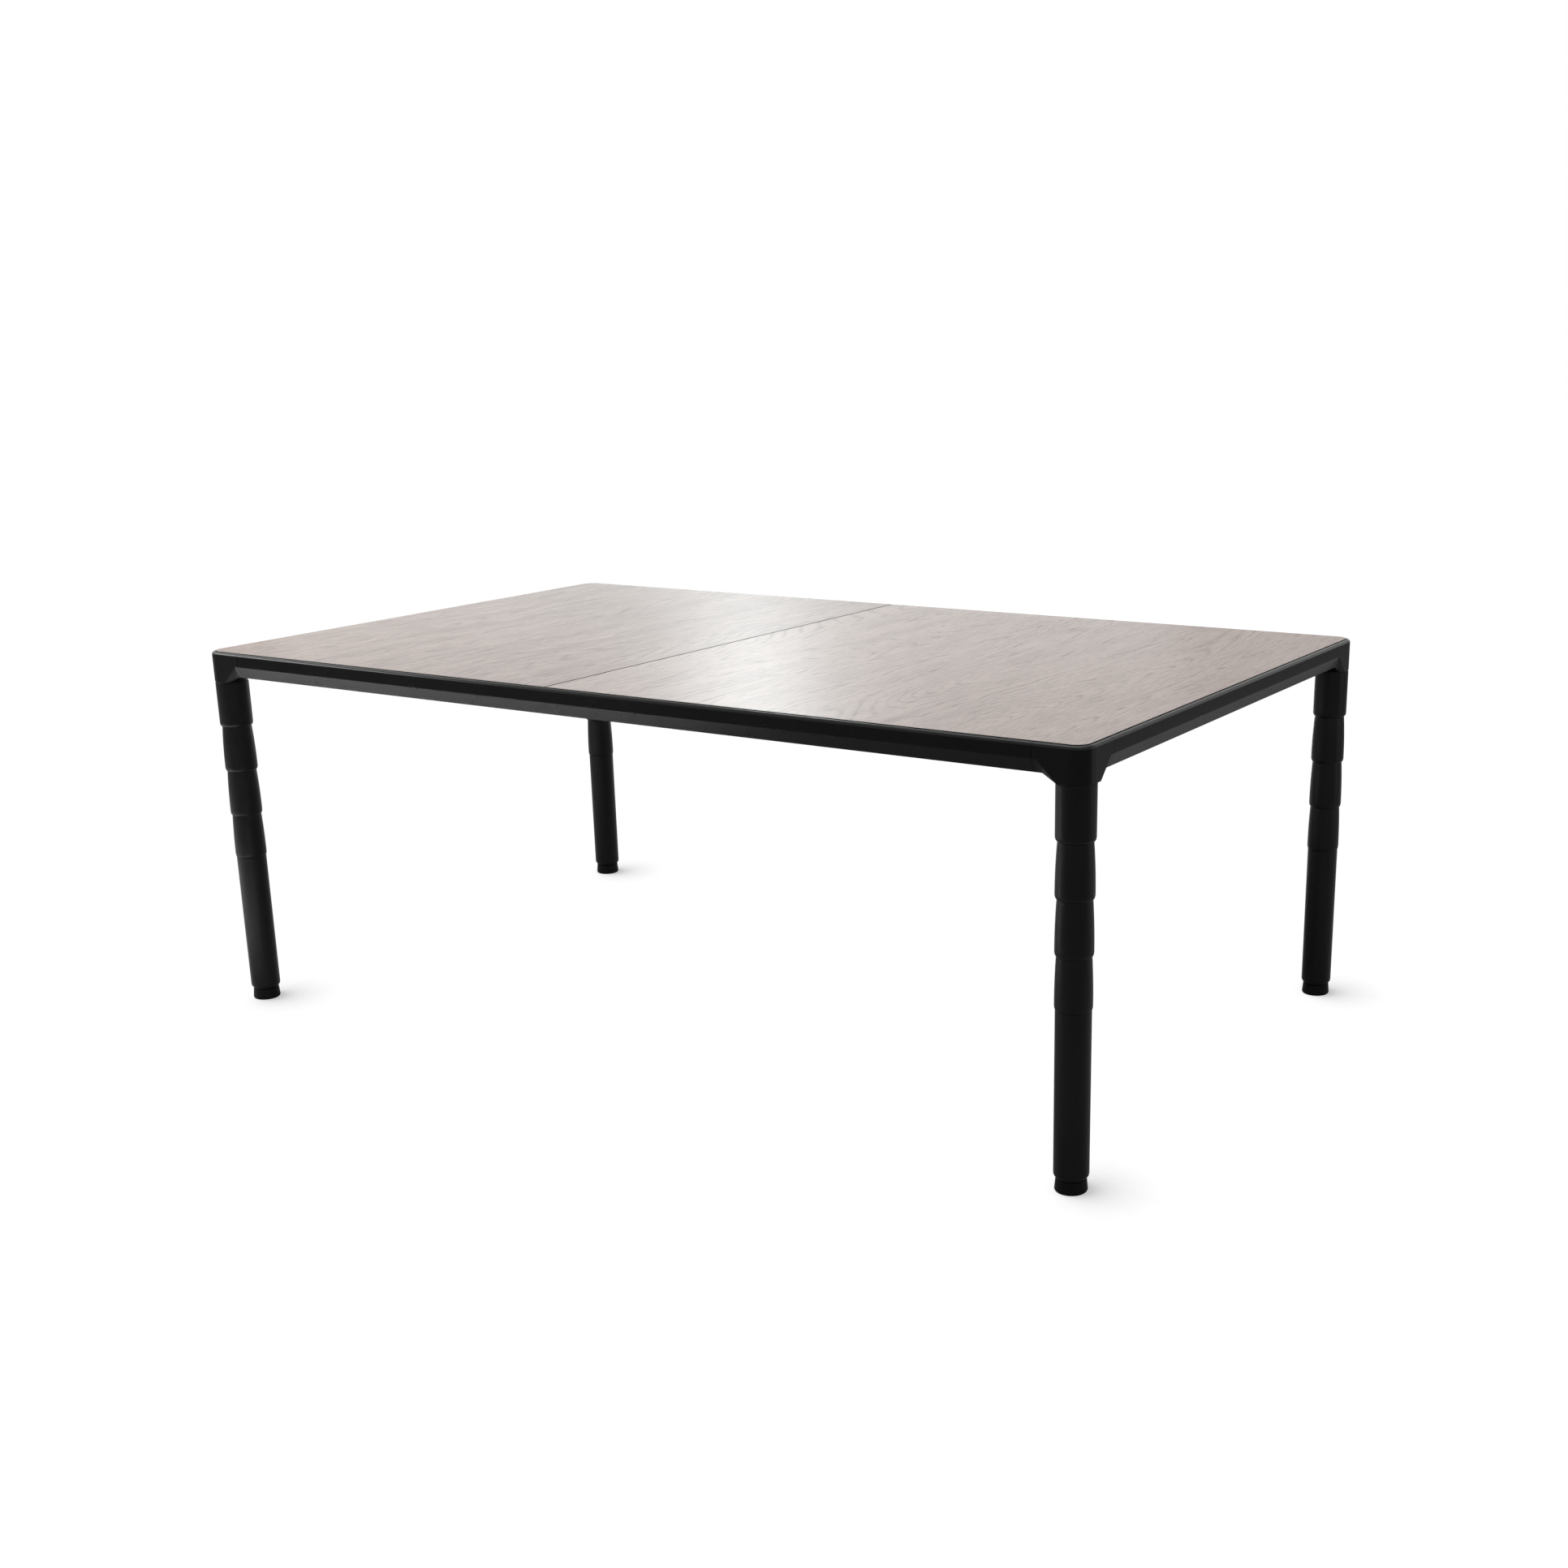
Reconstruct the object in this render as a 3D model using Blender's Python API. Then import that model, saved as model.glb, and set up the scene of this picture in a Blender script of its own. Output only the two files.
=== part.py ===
"""Conference table: two laminate panels in a black metal frame, on four ringed legs with levelling feet.

Metres, +Z up. X runs along the length, the front is at -Y, and the origin is on the floor under the middle.
"""

import math

import bmesh
import bpy
from mathutils import Matrix

MM = 0.001

# Overall size
TABLE_LENGTH = 2000 * MM
TABLE_WIDTH = 1200 * MM
TABLE_HEIGHT = 750 * MM
FIT = 0.3 * MM  # clearance between pieces that seat on or slide into each other

# Top panels
LEFT_PANEL_LENGTH = 900 * MM
PANEL_THICKNESS = 25 * MM
PANEL_GAP = 1.5 * MM  # between a panel and the rim around it
PANEL_EDGE = 1.0 * MM  # eased upper edge
SEAM_GAP = 1.5 * MM

# Frame beams, as a section: inwards from the outer face, and down from the panel
RIM_DROP = 1.5 * MM  # rim below the panel's surface
RIM_FLAT = 1.5 * MM
RIM_ROUND = 6 * MM
FACE_DEPTH = 2 * MM  # upright face below the panel's seat
SLANT_IN = 10 * MM
SLANT_DROP = 23 * MM
BEAM_WIDTH = 30 * MM
BEAM_WALL = 2.5 * MM

# Corner castings
GUSSET_RUN = 58 * MM  # along the beam, from the leg's axis
GUSSET_DROP = 12.7 * MM  # leg seat below the beams
ARM_END = 4 * MM  # past the gusset, in the beam's own section
SPIGOT_LENGTH = 40 * MM  # inside the beam
SOCKET_WALL = 6 * MM
SOCKET_ROOF = 7.2 * MM  # between the bolt's head and the leg
BOSS_DROP = 1 * MM  # top of the socket's boss below the panel's seat

# Legs
LEG_RADIUS = 32.8 * MM  # at the first sleeve's lip
LEG_SETBACK = 0.2 * MM  # of that lip from the frame's outer faces
SLEEVE_COUNT = 4
SLEEVE_PITCH = 94 * MM
LAST_SLEEVE_CUT = 4.5 * MM  # by which the last sleeve is shorter
SLEEVE_FLARE = 3.8 * MM  # of the first lip over the neck
SLEEVE_LIP_STEP = 0.5 * MM  # by which each lower sleeve's lip is smaller
SLEEVE_LIP_HEIGHT = 8 * MM
SLEEVE_WALL = 3.7 * MM  # at the neck
TUBE_WALL = 4.5 * MM
TUBE_END_WALL = 1 * MM  # left where the tube's lower end is rounded in
TUBE_END_HEIGHT = 7 * MM
CORE_WALL = 3 * MM
CORE_CAP = 8 * MM
BOLT_RADIUS = 5 * MM
BOLT_HEAD_LIP = 3.5 * MM  # of the head beyond the shank
BOLT_HEAD_HEIGHT = 5.5 * MM
BOLT_HEAD_DROP = 2 * MM  # head below the top of the boss
BOLT_END = 3 * MM  # thread showing below the core's cap

# Levelling feet
FOOT_HEIGHT = 21.5 * MM
FOOT_GAP = 1.2 * MM  # between the pad and the insert above it, foot screwed right in
FOOT_FLARE = 1.8 * MM  # of the pad's base beyond its top
FOOT_EDGE = 2 * MM
FOOT_FLOOR = 4 * MM  # pad under the stem's collar
STEM_RADIUS = 5 * MM
COLLAR_LIP = 3 * MM  # of the collar beyond the stem
COLLAR_HEIGHT = 6 * MM
INSERT_FLANGE = 3 * MM
INSERT_LIP = 1 * MM  # of the flange beyond the core tube
INSERT_LENGTH = 36 * MM  # inside the core tube

# Cross beam under the seam, and the clips that hold the panels
CROSS_BEAM_WIDTH = 50 * MM
CROSS_BEAM_HEIGHT = 25 * MM
CROSS_BEAM_WALL = 2.5 * MM
BRACKET_EAR = 11 * MM  # of the bracket's plate on each side of the beam
BRACKET_PLATE = 3 * MM
BRACKET_PLUG = 30 * MM
CLIP_WIDTH = 40 * MM
CLIP_LEG = 20 * MM
CLIP_PLATE = 2.5 * MM

# Facets of the round pieces
LEG_SEGMENTS = 24
SMALL_SEGMENTS = 16
CORNER_STEPS = LEG_SEGMENTS // 4
RIM_STEPS = 3
FLARE_STEPS = 3
LIP_STEPS = 3
SMOOTH_ANGLE = math.radians(35)

# Heights, from the top down
PANEL_BOTTOM = TABLE_HEIGHT - PANEL_THICKNESS
SEAT_Z = PANEL_BOTTOM - FIT
RIM_TOP = TABLE_HEIGHT - RIM_DROP
FACE_Z = SEAT_Z - FACE_DEPTH
BEAM_BOTTOM = FACE_Z - SLANT_DROP
LEG_TOP = BEAM_BOTTOM - GUSSET_DROP
BOSS_TOP = SEAT_Z - BOSS_DROP
COUNTERBORE_Z = BOSS_TOP - BOLT_HEAD_DROP - BOLT_HEAD_HEIGHT - FIT
SOCKET_TOP = COUNTERBORE_Z - SOCKET_ROOF
SLEEVES_BOTTOM = LEG_TOP - SLEEVE_COUNT * SLEEVE_PITCH + LAST_SLEEVE_CUT
INSERT_BOTTOM = FOOT_HEIGHT + FOOT_GAP
TUBE_BOTTOM = INSERT_BOTTOM + INSERT_FLANGE + FIT

# Radii, from the first sleeve's lip inwards, and of the holes from what goes into them
NECK_RADIUS = LEG_RADIUS - SLEEVE_FLARE
SLEEVE_BORE = NECK_RADIUS - SLEEVE_WALL
CORE_RADIUS = SLEEVE_BORE - FIT
TUBE_RADIUS = SLEEVE_BORE + TUBE_WALL
TUBE_END_RADIUS = SLEEVE_BORE + TUBE_END_WALL
FLANGE_RADIUS = CORE_RADIUS + INSERT_LIP
FOOT_RADIUS = FLANGE_RADIUS + FOOT_FLARE
BOLT_HEAD_RADIUS = BOLT_RADIUS + BOLT_HEAD_LIP
BOLT_HOLE = BOLT_RADIUS + FIT
COLLAR_RADIUS = STEM_RADIUS + COLLAR_LIP
STEM_HOLE = STEM_RADIUS + FIT

# Plan
CORNER_RADIUS = LEG_RADIUS + LEG_SETBACK
GUSSET_LENGTH = CORNER_RADIUS + GUSSET_RUN
ARM_LENGTH = GUSSET_LENGTH + ARM_END
RIM_WIDTH = RIM_ROUND + RIM_FLAT
PANEL_INSET = RIM_WIDTH + PANEL_GAP
PANEL_HALF_WIDTH = TABLE_WIDTH / 2 - PANEL_INSET
RIGHT_PANEL_LENGTH = TABLE_LENGTH - 2 * PANEL_INSET - LEFT_PANEL_LENGTH - SEAM_GAP
SEAM_X = PANEL_INSET + LEFT_PANEL_LENGTH + SEAM_GAP / 2 - TABLE_LENGTH / 2
LEG_X = TABLE_LENGTH / 2 - CORNER_RADIUS
LEG_Y = TABLE_WIDTH / 2 - CORNER_RADIUS
CORNERS = {"front_left": (-1, -1), "front_right": (1, -1), "back_left": (-1, 1), "back_right": (1, 1)}


def clear_scene():
    for obj in list(bpy.data.objects):
        bpy.data.objects.remove(obj, do_unlink=True)


def finish(name, color, roughness, metallic=0.0):
    """A painted, moulded or plated surface."""
    material = bpy.data.materials.new(name)
    material.use_nodes = True
    shader = material.node_tree.nodes["Principled BSDF"]
    shader.inputs["Base Color"].default_value = (*color, 1)
    shader.inputs["Roughness"].default_value = roughness
    shader.inputs["Metallic"].default_value = metallic
    return material


def add_object(name, bm, material, location=(0, 0, 0), turn=0.0):
    """A named piece from a closed shape, turned about Z and set down at its place."""
    bmesh.ops.remove_doubles(bm, verts=bm.verts, dist=FIT / 100)
    bmesh.ops.recalc_face_normals(bm, faces=bm.faces)
    mesh = bpy.data.meshes.new(name)
    bm.to_mesh(mesh)
    bm.free()
    mesh.shade_smooth()
    mesh.set_sharp_from_angle(angle=SMOOTH_ANGLE)
    mesh.materials.append(material)
    obj = bpy.data.objects.new(name, mesh)
    obj.location = location
    obj.rotation_euler.z = turn
    bpy.context.scene.collection.objects.link(obj)
    return obj


def stack(loops):
    """A solid skinned over closed loops of as many points each, with its two ends capped."""
    bm = bmesh.new()
    rings = [[bm.verts.new(point) for point in loop] for loop in loops]
    for lower, upper in zip(rings, rings[1:]):
        for i in range(len(lower)):
            bm.faces.new((lower[i - 1], lower[i], upper[i], upper[i - 1]))
    bm.faces.new(reversed(rings[0]))
    bm.faces.new(rings[-1])
    return bm


def profile_bar(length, outline, hollow):
    """A straight hollow bar along X: its outline and its hollow are loops of (Y, Z) points."""
    bm = bmesh.new()
    ends = []
    for x in (-length / 2, length / 2):
        edges = []
        for loop in (outline, hollow):
            points = [bm.verts.new((x, y, z)) for y, z in loop]
            edges += [bm.edges.new((points[i - 1], points[i])) for i in range(len(points))]
        ends.append(edges)
    bmesh.ops.bridge_loops(bm, edges=ends[0][: len(outline)] + ends[1][: len(outline)])
    bmesh.ops.bridge_loops(bm, edges=ends[0][len(outline):] + ends[1][len(outline):])
    for edges in ends:
        bmesh.ops.triangle_fill(bm, edges=edges, use_beauty=True)
    return bm


def turned(profile, segments):
    """A solid turned about Z from a closed loop of (radius, Z) points."""
    bm = bmesh.new()
    points = [bm.verts.new((radius, 0, z)) for radius, z in profile]
    edges = [
        bm.edges.new((points[i - 1], points[i]))
        for i in range(len(points))
        if profile[i - 1][0] > 0 or profile[i][0] > 0
    ]
    bmesh.ops.spin(
        bm, geom=points + edges, cent=(0, 0, 0), axis=(0, 0, 1), angle=2 * math.pi, steps=segments, use_merge=True
    )
    return bm


def rectangle(low, high):
    return [(low[0], low[1]), (high[0], low[1]), (high[0], high[1]), (low[0], high[1])]


def quarter(steps):
    """Cosine and sine of even steps over a quarter turn, both ends included."""
    angles = [math.pi / 2 * i / steps for i in range(steps + 1)]
    return [(math.cos(angle), math.sin(angle)) for angle in angles]


def clipped(loop, inside):
    """The part of a convex loop where inside(point), linear over the plane, isn't negative."""
    kept = []
    for i, point in enumerate(loop):
        before = loop[i - 1]
        a, b = inside(before), inside(point)
        if a * b < 0:
            share = a / (a - b)
            kept.append(tuple(p + (q - p) * share for p, q in zip(before, point)))
        if b >= 0:
            kept.append(point)
    return kept


def rim_profile():
    """The rim's (inwards, Z) points, from the top of the upright face over the rounding to the panel's seat."""
    center_z = RIM_TOP - RIM_ROUND
    rounding = [(RIM_ROUND * (1 - c), center_z + RIM_ROUND * s) for c, s in quarter(RIM_STEPS)]
    return rounding + [(RIM_WIDTH, RIM_TOP), (RIM_WIDTH, SEAT_Z)]


def beam_outline():
    """The beam's outer (inwards, Z) section."""
    lower = [(BEAM_WIDTH, SEAT_Z), (BEAM_WIDTH, BEAM_BOTTOM), (SLANT_IN, BEAM_BOTTOM), (0, FACE_Z)]
    return rim_profile() + lower


def beam_hollow(wall):
    """The section that stays free inside the beam, at a distance of wall from its outside."""
    box = rectangle((wall, BEAM_BOTTOM + wall), (BEAM_WIDTH - wall, SEAT_Z - wall))
    slant = math.hypot(SLANT_IN, SLANT_DROP)

    def inside(point):
        inwards, z = point
        return (inwards * SLANT_DROP + (z - FACE_Z) * SLANT_IN) / slant - wall

    return clipped(box, inside)


def add_beam(name, side_length, location, turn, material):
    """One frame beam between two castings: a hollow profile, open at its ends."""
    length = side_length - 2 * (ARM_LENGTH + FIT)
    bm = profile_bar(length, beam_outline(), beam_hollow(BEAM_WALL))
    return add_object(name, bm, material, location, turn)


def gusset_runs():
    """How far a gusset's slanted facet runs along the beam, at the outer face and at the slant's lower edge.

    The facet holds the slanted line across the end of the beam's outer faces and touches the leg's round seat.
    """
    lean = SLANT_IN / SLANT_DROP
    depth = FACE_Z - LEG_TOP
    across = CORNER_RADIUS - lean * depth
    heading = math.atan2(across, GUSSET_RUN) + math.acos(CORNER_RADIUS / math.hypot(GUSSET_RUN, across))
    run_per_drop = lean * math.tan(heading)
    return run_per_drop * depth, run_per_drop * GUSSET_DROP


def casting_body():
    """The casting's two arms and round corner, skinned along the frame's corner.

    X and Y count inwards from the corner where the outer faces would meet.
    """
    outer_run, inner_run = gusset_runs()
    section = [(inwards, z, z, outer_run) for inwards, z in rim_profile()]
    section += [
        (BEAM_WIDTH, SEAT_Z, SEAT_Z, inner_run),
        (BEAM_WIDTH, BEAM_BOTTOM, LEG_TOP, inner_run),
        (SLANT_IN, BEAM_BOTTOM, LEG_TOP, inner_run),
        (0, FACE_Z, LEG_TOP, outer_run),
    ]
    paths = []
    for inwards, arm_z, leg_z, run in section:
        center = max(inwards, CORNER_RADIUS)
        radius = center - inwards
        arm = [(ARM_LENGTH, arm_z), (GUSSET_LENGTH, arm_z), (GUSSET_LENGTH - run, leg_z)]
        path = [(along, inwards, z) for along, z in arm]
        path += [(center - radius * s, center - radius * c, leg_z) for c, s in quarter(CORNER_STEPS)]
        path += [(inwards, along, z) for along, z in reversed(arm)]
        paths.append(path)
    return stack(list(zip(*paths)))


def spigot(along_x):
    """The tongue on a casting's arm that goes into the beam."""
    section = beam_hollow(BEAM_WALL + FIT)
    ends = (ARM_LENGTH - SPIGOT_LENGTH / 2, ARM_LENGTH + SPIGOT_LENGTH)
    if along_x:
        return stack([[(end, inwards, z) for inwards, z in section] for end in ends])
    return stack([[(inwards, end, z) for inwards, z in section] for end in ends])


def pillar(radius, bottom, top, segments):
    """A plain round bar on the leg's axis."""
    bm = turned([(0, top), (radius, top), (radius, bottom), (0, bottom)], segments)
    bmesh.ops.translate(bm, verts=bm.verts, vec=(CORNER_RADIUS, CORNER_RADIUS, 0))
    return bm


def casting_mesh(material):
    """One corner casting with its leg socket, bolt hole and spigots, seen from its own corner."""
    body = add_object("casting_body", casting_body(), material)
    steps = [
        ("UNION", pillar(SLEEVE_BORE + SOCKET_WALL, LEG_TOP + FIT, BOSS_TOP, LEG_SEGMENTS)),
        ("UNION", spigot(along_x=True)),
        ("UNION", spigot(along_x=False)),
        ("DIFFERENCE", pillar(SLEEVE_BORE, LEG_TOP - FIT, SOCKET_TOP, LEG_SEGMENTS)),
        ("DIFFERENCE", pillar(BOLT_HOLE, LEG_TOP, RIM_TOP, SMALL_SEGMENTS)),
        ("DIFFERENCE", pillar(BOLT_HEAD_RADIUS + FIT, COUNTERBORE_Z, RIM_TOP, SMALL_SEGMENTS)),
    ]
    helpers = [body]
    for operation, bm in steps:
        helper = add_object("casting_step", bm, material)
        helpers.append(helper)
        modifier = body.modifiers.new(operation, "BOOLEAN")
        modifier.operation = operation
        modifier.solver = "EXACT"
        modifier.object = helper
    graph = bpy.context.evaluated_depsgraph_get()
    mesh = bpy.data.meshes.new_from_object(body.evaluated_get(graph))
    for helper in helpers:
        bpy.data.objects.remove(helper, do_unlink=True)
    return mesh


def add_castings(material):
    """The four corner castings, mirrored from one."""
    pattern = casting_mesh(material)
    for corner, (side_x, side_y) in CORNERS.items():
        bm = bmesh.new()
        bm.from_mesh(pattern)
        bmesh.ops.transform(bm, matrix=Matrix.Diagonal((-side_x, -side_y, 1, 1)), verts=bm.verts)
        place = (side_x * TABLE_LENGTH / 2, side_y * TABLE_WIDTH / 2, 0)
        add_object(f"corner_casting_{corner}", bm, material, place)


def panel_loop(length, half_width, radius, z):
    """A panel's outline, with its seam at +X and its rounded corners at -X."""
    center_x = radius - length / 2
    center_y = half_width - radius
    loop = [(length / 2, half_width, z)]
    loop += [(center_x - radius * s, center_y + radius * c, z) for c, s in quarter(CORNER_STEPS)]
    loop += [(center_x - radius * c, -center_y - radius * s, z) for c, s in quarter(CORNER_STEPS)]
    return loop + [(length / 2, -half_width, z)]


def add_panel(name, length, middle_x, turn, material):
    """One laminate panel, eased along its upper edge."""
    radius = CORNER_RADIUS - PANEL_INSET
    upper = PANEL_THICKNESS - PANEL_EDGE
    loops = [
        panel_loop(length, PANEL_HALF_WIDTH, radius, 0),
        panel_loop(length, PANEL_HALF_WIDTH, radius, upper),
        panel_loop(length - 2 * PANEL_EDGE, PANEL_HALF_WIDTH - PANEL_EDGE, radius - PANEL_EDGE, PANEL_THICKNESS),
    ]
    return add_object(name, stack(loops), material, (middle_x, 0, PANEL_BOTTOM), turn)


def sleeve_profile(index):
    """A ringed sleeve: the first is straight, the others flare from a neck, and each ends in a rounded lip."""
    lip = LEG_RADIUS - index * SLEEVE_LIP_STEP
    top = LEG_TOP - index * SLEEVE_PITCH - FIT
    bottom = LEG_TOP - (index + 1) * SLEEVE_PITCH
    below = NECK_RADIUS
    if index + 1 == SLEEVE_COUNT:
        bottom = SLEEVES_BOTTOM
        below = TUBE_RADIUS
    lip_top = bottom + SLEEVE_LIP_HEIGHT
    profile = [(SLEEVE_BORE, top)]
    if index == 0:
        profile.append((lip, top))
    else:
        for i in range(FLARE_STEPS):
            share = i / FLARE_STEPS
            flare = 1 - (1 - share) ** 2
            profile.append((NECK_RADIUS + (lip - NECK_RADIUS) * flare, top + (lip_top - top) * share))
    for c, s in quarter(LIP_STEPS):
        profile.append((below + (lip - below) * c, lip_top - SLEEVE_LIP_HEIGHT * s))
    return profile + [(SLEEVE_BORE, bottom)]


def core_profile():
    """The leg's core tube, closed at its top by a cap with a hole for the bolt."""
    top = SOCKET_TOP - FIT
    inner = CORE_RADIUS - CORE_WALL
    return [
        (BOLT_HOLE, top),
        (CORE_RADIUS, top),
        (CORE_RADIUS, TUBE_BOTTOM),
        (inner, TUBE_BOTTOM),
        (inner, top - CORE_CAP),
        (BOLT_HOLE, top - CORE_CAP),
    ]


def tube_profile():
    """The plain lower tube of the leg, rounded in at its lower end."""
    top = SLEEVES_BOTTOM - FIT
    rounding = [
        (TUBE_END_RADIUS + (TUBE_RADIUS - TUBE_END_RADIUS) * c, TUBE_BOTTOM + TUBE_END_HEIGHT * (1 - s))
        for c, s in quarter(LIP_STEPS)
    ]
    return [(SLEEVE_BORE, top), (TUBE_RADIUS, top), *rounding, (SLEEVE_BORE, TUBE_BOTTOM)]


def bolt_profile():
    """The bolt that pulls the core tube up into the casting."""
    seat = COUNTERBORE_Z + FIT
    end = SOCKET_TOP - FIT - CORE_CAP - BOLT_END
    head_top = seat + BOLT_HEAD_HEIGHT
    return [
        (0, head_top),
        (BOLT_HEAD_RADIUS, head_top),
        (BOLT_HEAD_RADIUS, seat),
        (BOLT_RADIUS, seat),
        (BOLT_RADIUS, end),
        (0, end),
    ]


def insert_profile():
    """The threaded insert in the leg's lower end, with the flange that the tubes stand on."""
    plug = CORE_RADIUS - CORE_WALL - FIT
    flange_top = INSERT_BOTTOM + INSERT_FLANGE
    top = flange_top + INSERT_LENGTH
    return [
        (STEM_HOLE, top),
        (plug, top),
        (plug, flange_top),
        (FLANGE_RADIUS, flange_top),
        (FLANGE_RADIUS, INSERT_BOTTOM),
        (STEM_HOLE, INSERT_BOTTOM),
    ]


def stem_profile():
    """The foot's threaded stem, with the collar that keeps it in the pad."""
    bottom = FOOT_FLOOR + FIT
    collar_top = bottom + COLLAR_HEIGHT
    top = INSERT_BOTTOM + INSERT_FLANGE + INSERT_LENGTH
    return [
        (0, top),
        (STEM_RADIUS, top),
        (STEM_RADIUS, collar_top),
        (COLLAR_RADIUS, collar_top),
        (COLLAR_RADIUS, bottom),
        (0, bottom),
    ]


def pad_profile():
    """The foot pad: wider towards the floor, with a pocket for the stem's collar."""
    pocket = COLLAR_RADIUS + FIT
    pocket_top = FOOT_FLOOR + COLLAR_HEIGHT + 2 * FIT
    edge = [(FOOT_RADIUS - FOOT_EDGE * (1 - c), FOOT_EDGE * (1 - s)) for c, s in quarter(LIP_STEPS)]
    return [
        (STEM_HOLE, FOOT_HEIGHT),
        (FLANGE_RADIUS, FOOT_HEIGHT),
        *edge,
        (0, 0),
        (0, FOOT_FLOOR),
        (pocket, FOOT_FLOOR),
        (pocket, pocket_top),
        (STEM_HOLE, pocket_top),
    ]


def add_legs(metal, plastic, zinc):
    """The four legs. Each piece has its origin on the leg's axis, which is also its foot's axis."""
    for corner, (side_x, side_y) in CORNERS.items():
        place = (side_x * LEG_X, side_y * LEG_Y, 0)
        for index in range(SLEEVE_COUNT):
            name = f"leg_sleeve_{index + 1}_{corner}"
            add_object(name, turned(sleeve_profile(index), LEG_SEGMENTS), metal, place)
        add_object(f"leg_tube_{corner}", turned(tube_profile(), LEG_SEGMENTS), metal, place)
        add_object(f"leg_core_{corner}", turned(core_profile(), LEG_SEGMENTS), zinc, place)
        add_object(f"leg_bolt_{corner}", turned(bolt_profile(), SMALL_SEGMENTS), zinc, place)
        add_object(f"foot_insert_{corner}", turned(insert_profile(), LEG_SEGMENTS), plastic, place)
        add_object(f"foot_stem_{corner}", turned(stem_profile(), SMALL_SEGMENTS), zinc, place)
        add_object(f"foot_pad_{corner}", turned(pad_profile(), LEG_SEGMENTS), plastic, place)


def add_cross_beam(metal):
    """The square tube under the seam, on a plugged bracket at each end."""
    plate_face = TABLE_WIDTH / 2 - BEAM_WIDTH - FIT
    plate_end = plate_face - BRACKET_PLATE
    half = CROSS_BEAM_WIDTH / 2
    bottom = SEAT_Z - CROSS_BEAM_HEIGHT
    wall = CROSS_BEAM_WALL
    outline = rectangle((-half, bottom), (half, SEAT_Z))
    hollow = rectangle((wall - half, bottom + wall), (half - wall, SEAT_Z - wall))
    bm = profile_bar(2 * (plate_end - FIT), outline, hollow)
    add_object("cross_beam", bm, metal, (SEAM_X, 0, 0), math.pi / 2)
    inset = wall + FIT
    ear = half + BRACKET_EAR
    plate = rectangle((-ear, bottom), (ear, SEAT_Z))
    plug = rectangle((inset - half, bottom + inset), (half - inset, SEAT_Z - inset))
    steps = [(plate, plate_face), (plate, plate_end), (plug, plate_end), (plug, plate_end - BRACKET_PLUG)]
    for side, turn in (("back", 0), ("front", math.pi)):
        loops = [[(x, y, z) for x, z in loop] for loop, y in steps]
        add_object(f"cross_beam_bracket_{side}", stack(loops), metal, (SEAM_X, 0, 0), turn)


def add_panel_clips(metal):
    """The angle clips between the beams and the panels: one in the middle of each beam's run under a panel."""
    left_x = (SEAM_X - TABLE_LENGTH / 2) / 2
    right_x = (SEAM_X + TABLE_LENGTH / 2) / 2
    side_y = TABLE_WIDTH / 2
    side_x = TABLE_LENGTH / 2
    places = {
        "front_left": ((left_x, -side_y, 0), 0),
        "front_right": ((right_x, -side_y, 0), 0),
        "back_left": ((left_x, side_y, 0), math.pi),
        "back_right": ((right_x, side_y, 0), math.pi),
        "left": ((-side_x, 0, 0), -math.pi / 2),
        "right": ((side_x, 0, 0), math.pi / 2),
    }
    wall = BEAM_WIDTH + FIT
    angle = [
        (wall, SEAT_Z - CLIP_LEG),
        (wall + CLIP_PLATE, SEAT_Z - CLIP_LEG),
        (wall + CLIP_PLATE, SEAT_Z - CLIP_PLATE),
        (wall + CLIP_LEG, SEAT_Z - CLIP_PLATE),
        (wall + CLIP_LEG, SEAT_Z),
        (wall, SEAT_Z),
    ]
    for name, (location, turn) in places.items():
        loops = [[(x, inwards, z) for inwards, z in angle] for x in (-CLIP_WIDTH / 2, CLIP_WIDTH / 2)]
        add_object(f"panel_clip_{name}", stack(loops), metal, location, turn)


def build_table():
    clear_scene()
    laminate = finish("wood_laminate", (0.53, 0.46, 0.43), 0.45)
    coated = finish("black_coated_metal", (0.012, 0.012, 0.012), 0.42, 0.2)
    cast = finish("black_cast_metal", (0.012, 0.012, 0.012), 0.45, 0.2)
    plastic = finish("black_plastic", (0.010, 0.010, 0.010), 0.5)
    zinc = finish("zinc_plated_steel", (0.55, 0.56, 0.58), 0.35, 1.0)
    left_middle = PANEL_INSET + LEFT_PANEL_LENGTH / 2 - TABLE_LENGTH / 2
    right_middle = TABLE_LENGTH / 2 - PANEL_INSET - RIGHT_PANEL_LENGTH / 2
    add_panel("top_panel_left", LEFT_PANEL_LENGTH, left_middle, 0, laminate)
    add_panel("top_panel_right", RIGHT_PANEL_LENGTH, right_middle, math.pi, laminate)
    add_beam("front_beam", TABLE_LENGTH, (0, -TABLE_WIDTH / 2, 0), 0, coated)
    add_beam("back_beam", TABLE_LENGTH, (0, TABLE_WIDTH / 2, 0), math.pi, coated)
    add_beam("left_beam", TABLE_WIDTH, (-TABLE_LENGTH / 2, 0, 0), -math.pi / 2, coated)
    add_beam("right_beam", TABLE_WIDTH, (TABLE_LENGTH / 2, 0, 0), math.pi / 2, coated)
    add_castings(cast)
    add_cross_beam(coated)
    add_panel_clips(zinc)
    add_legs(coated, plastic, zinc)


build_table()
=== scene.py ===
"""Looks of the conference table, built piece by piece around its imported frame.

Metres, +Z up. The front is at -Y, and the origin is on the floor under the middle of the table.
"""
import math

import bmesh
import bpy
from mathutils import Matrix, Vector


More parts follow.
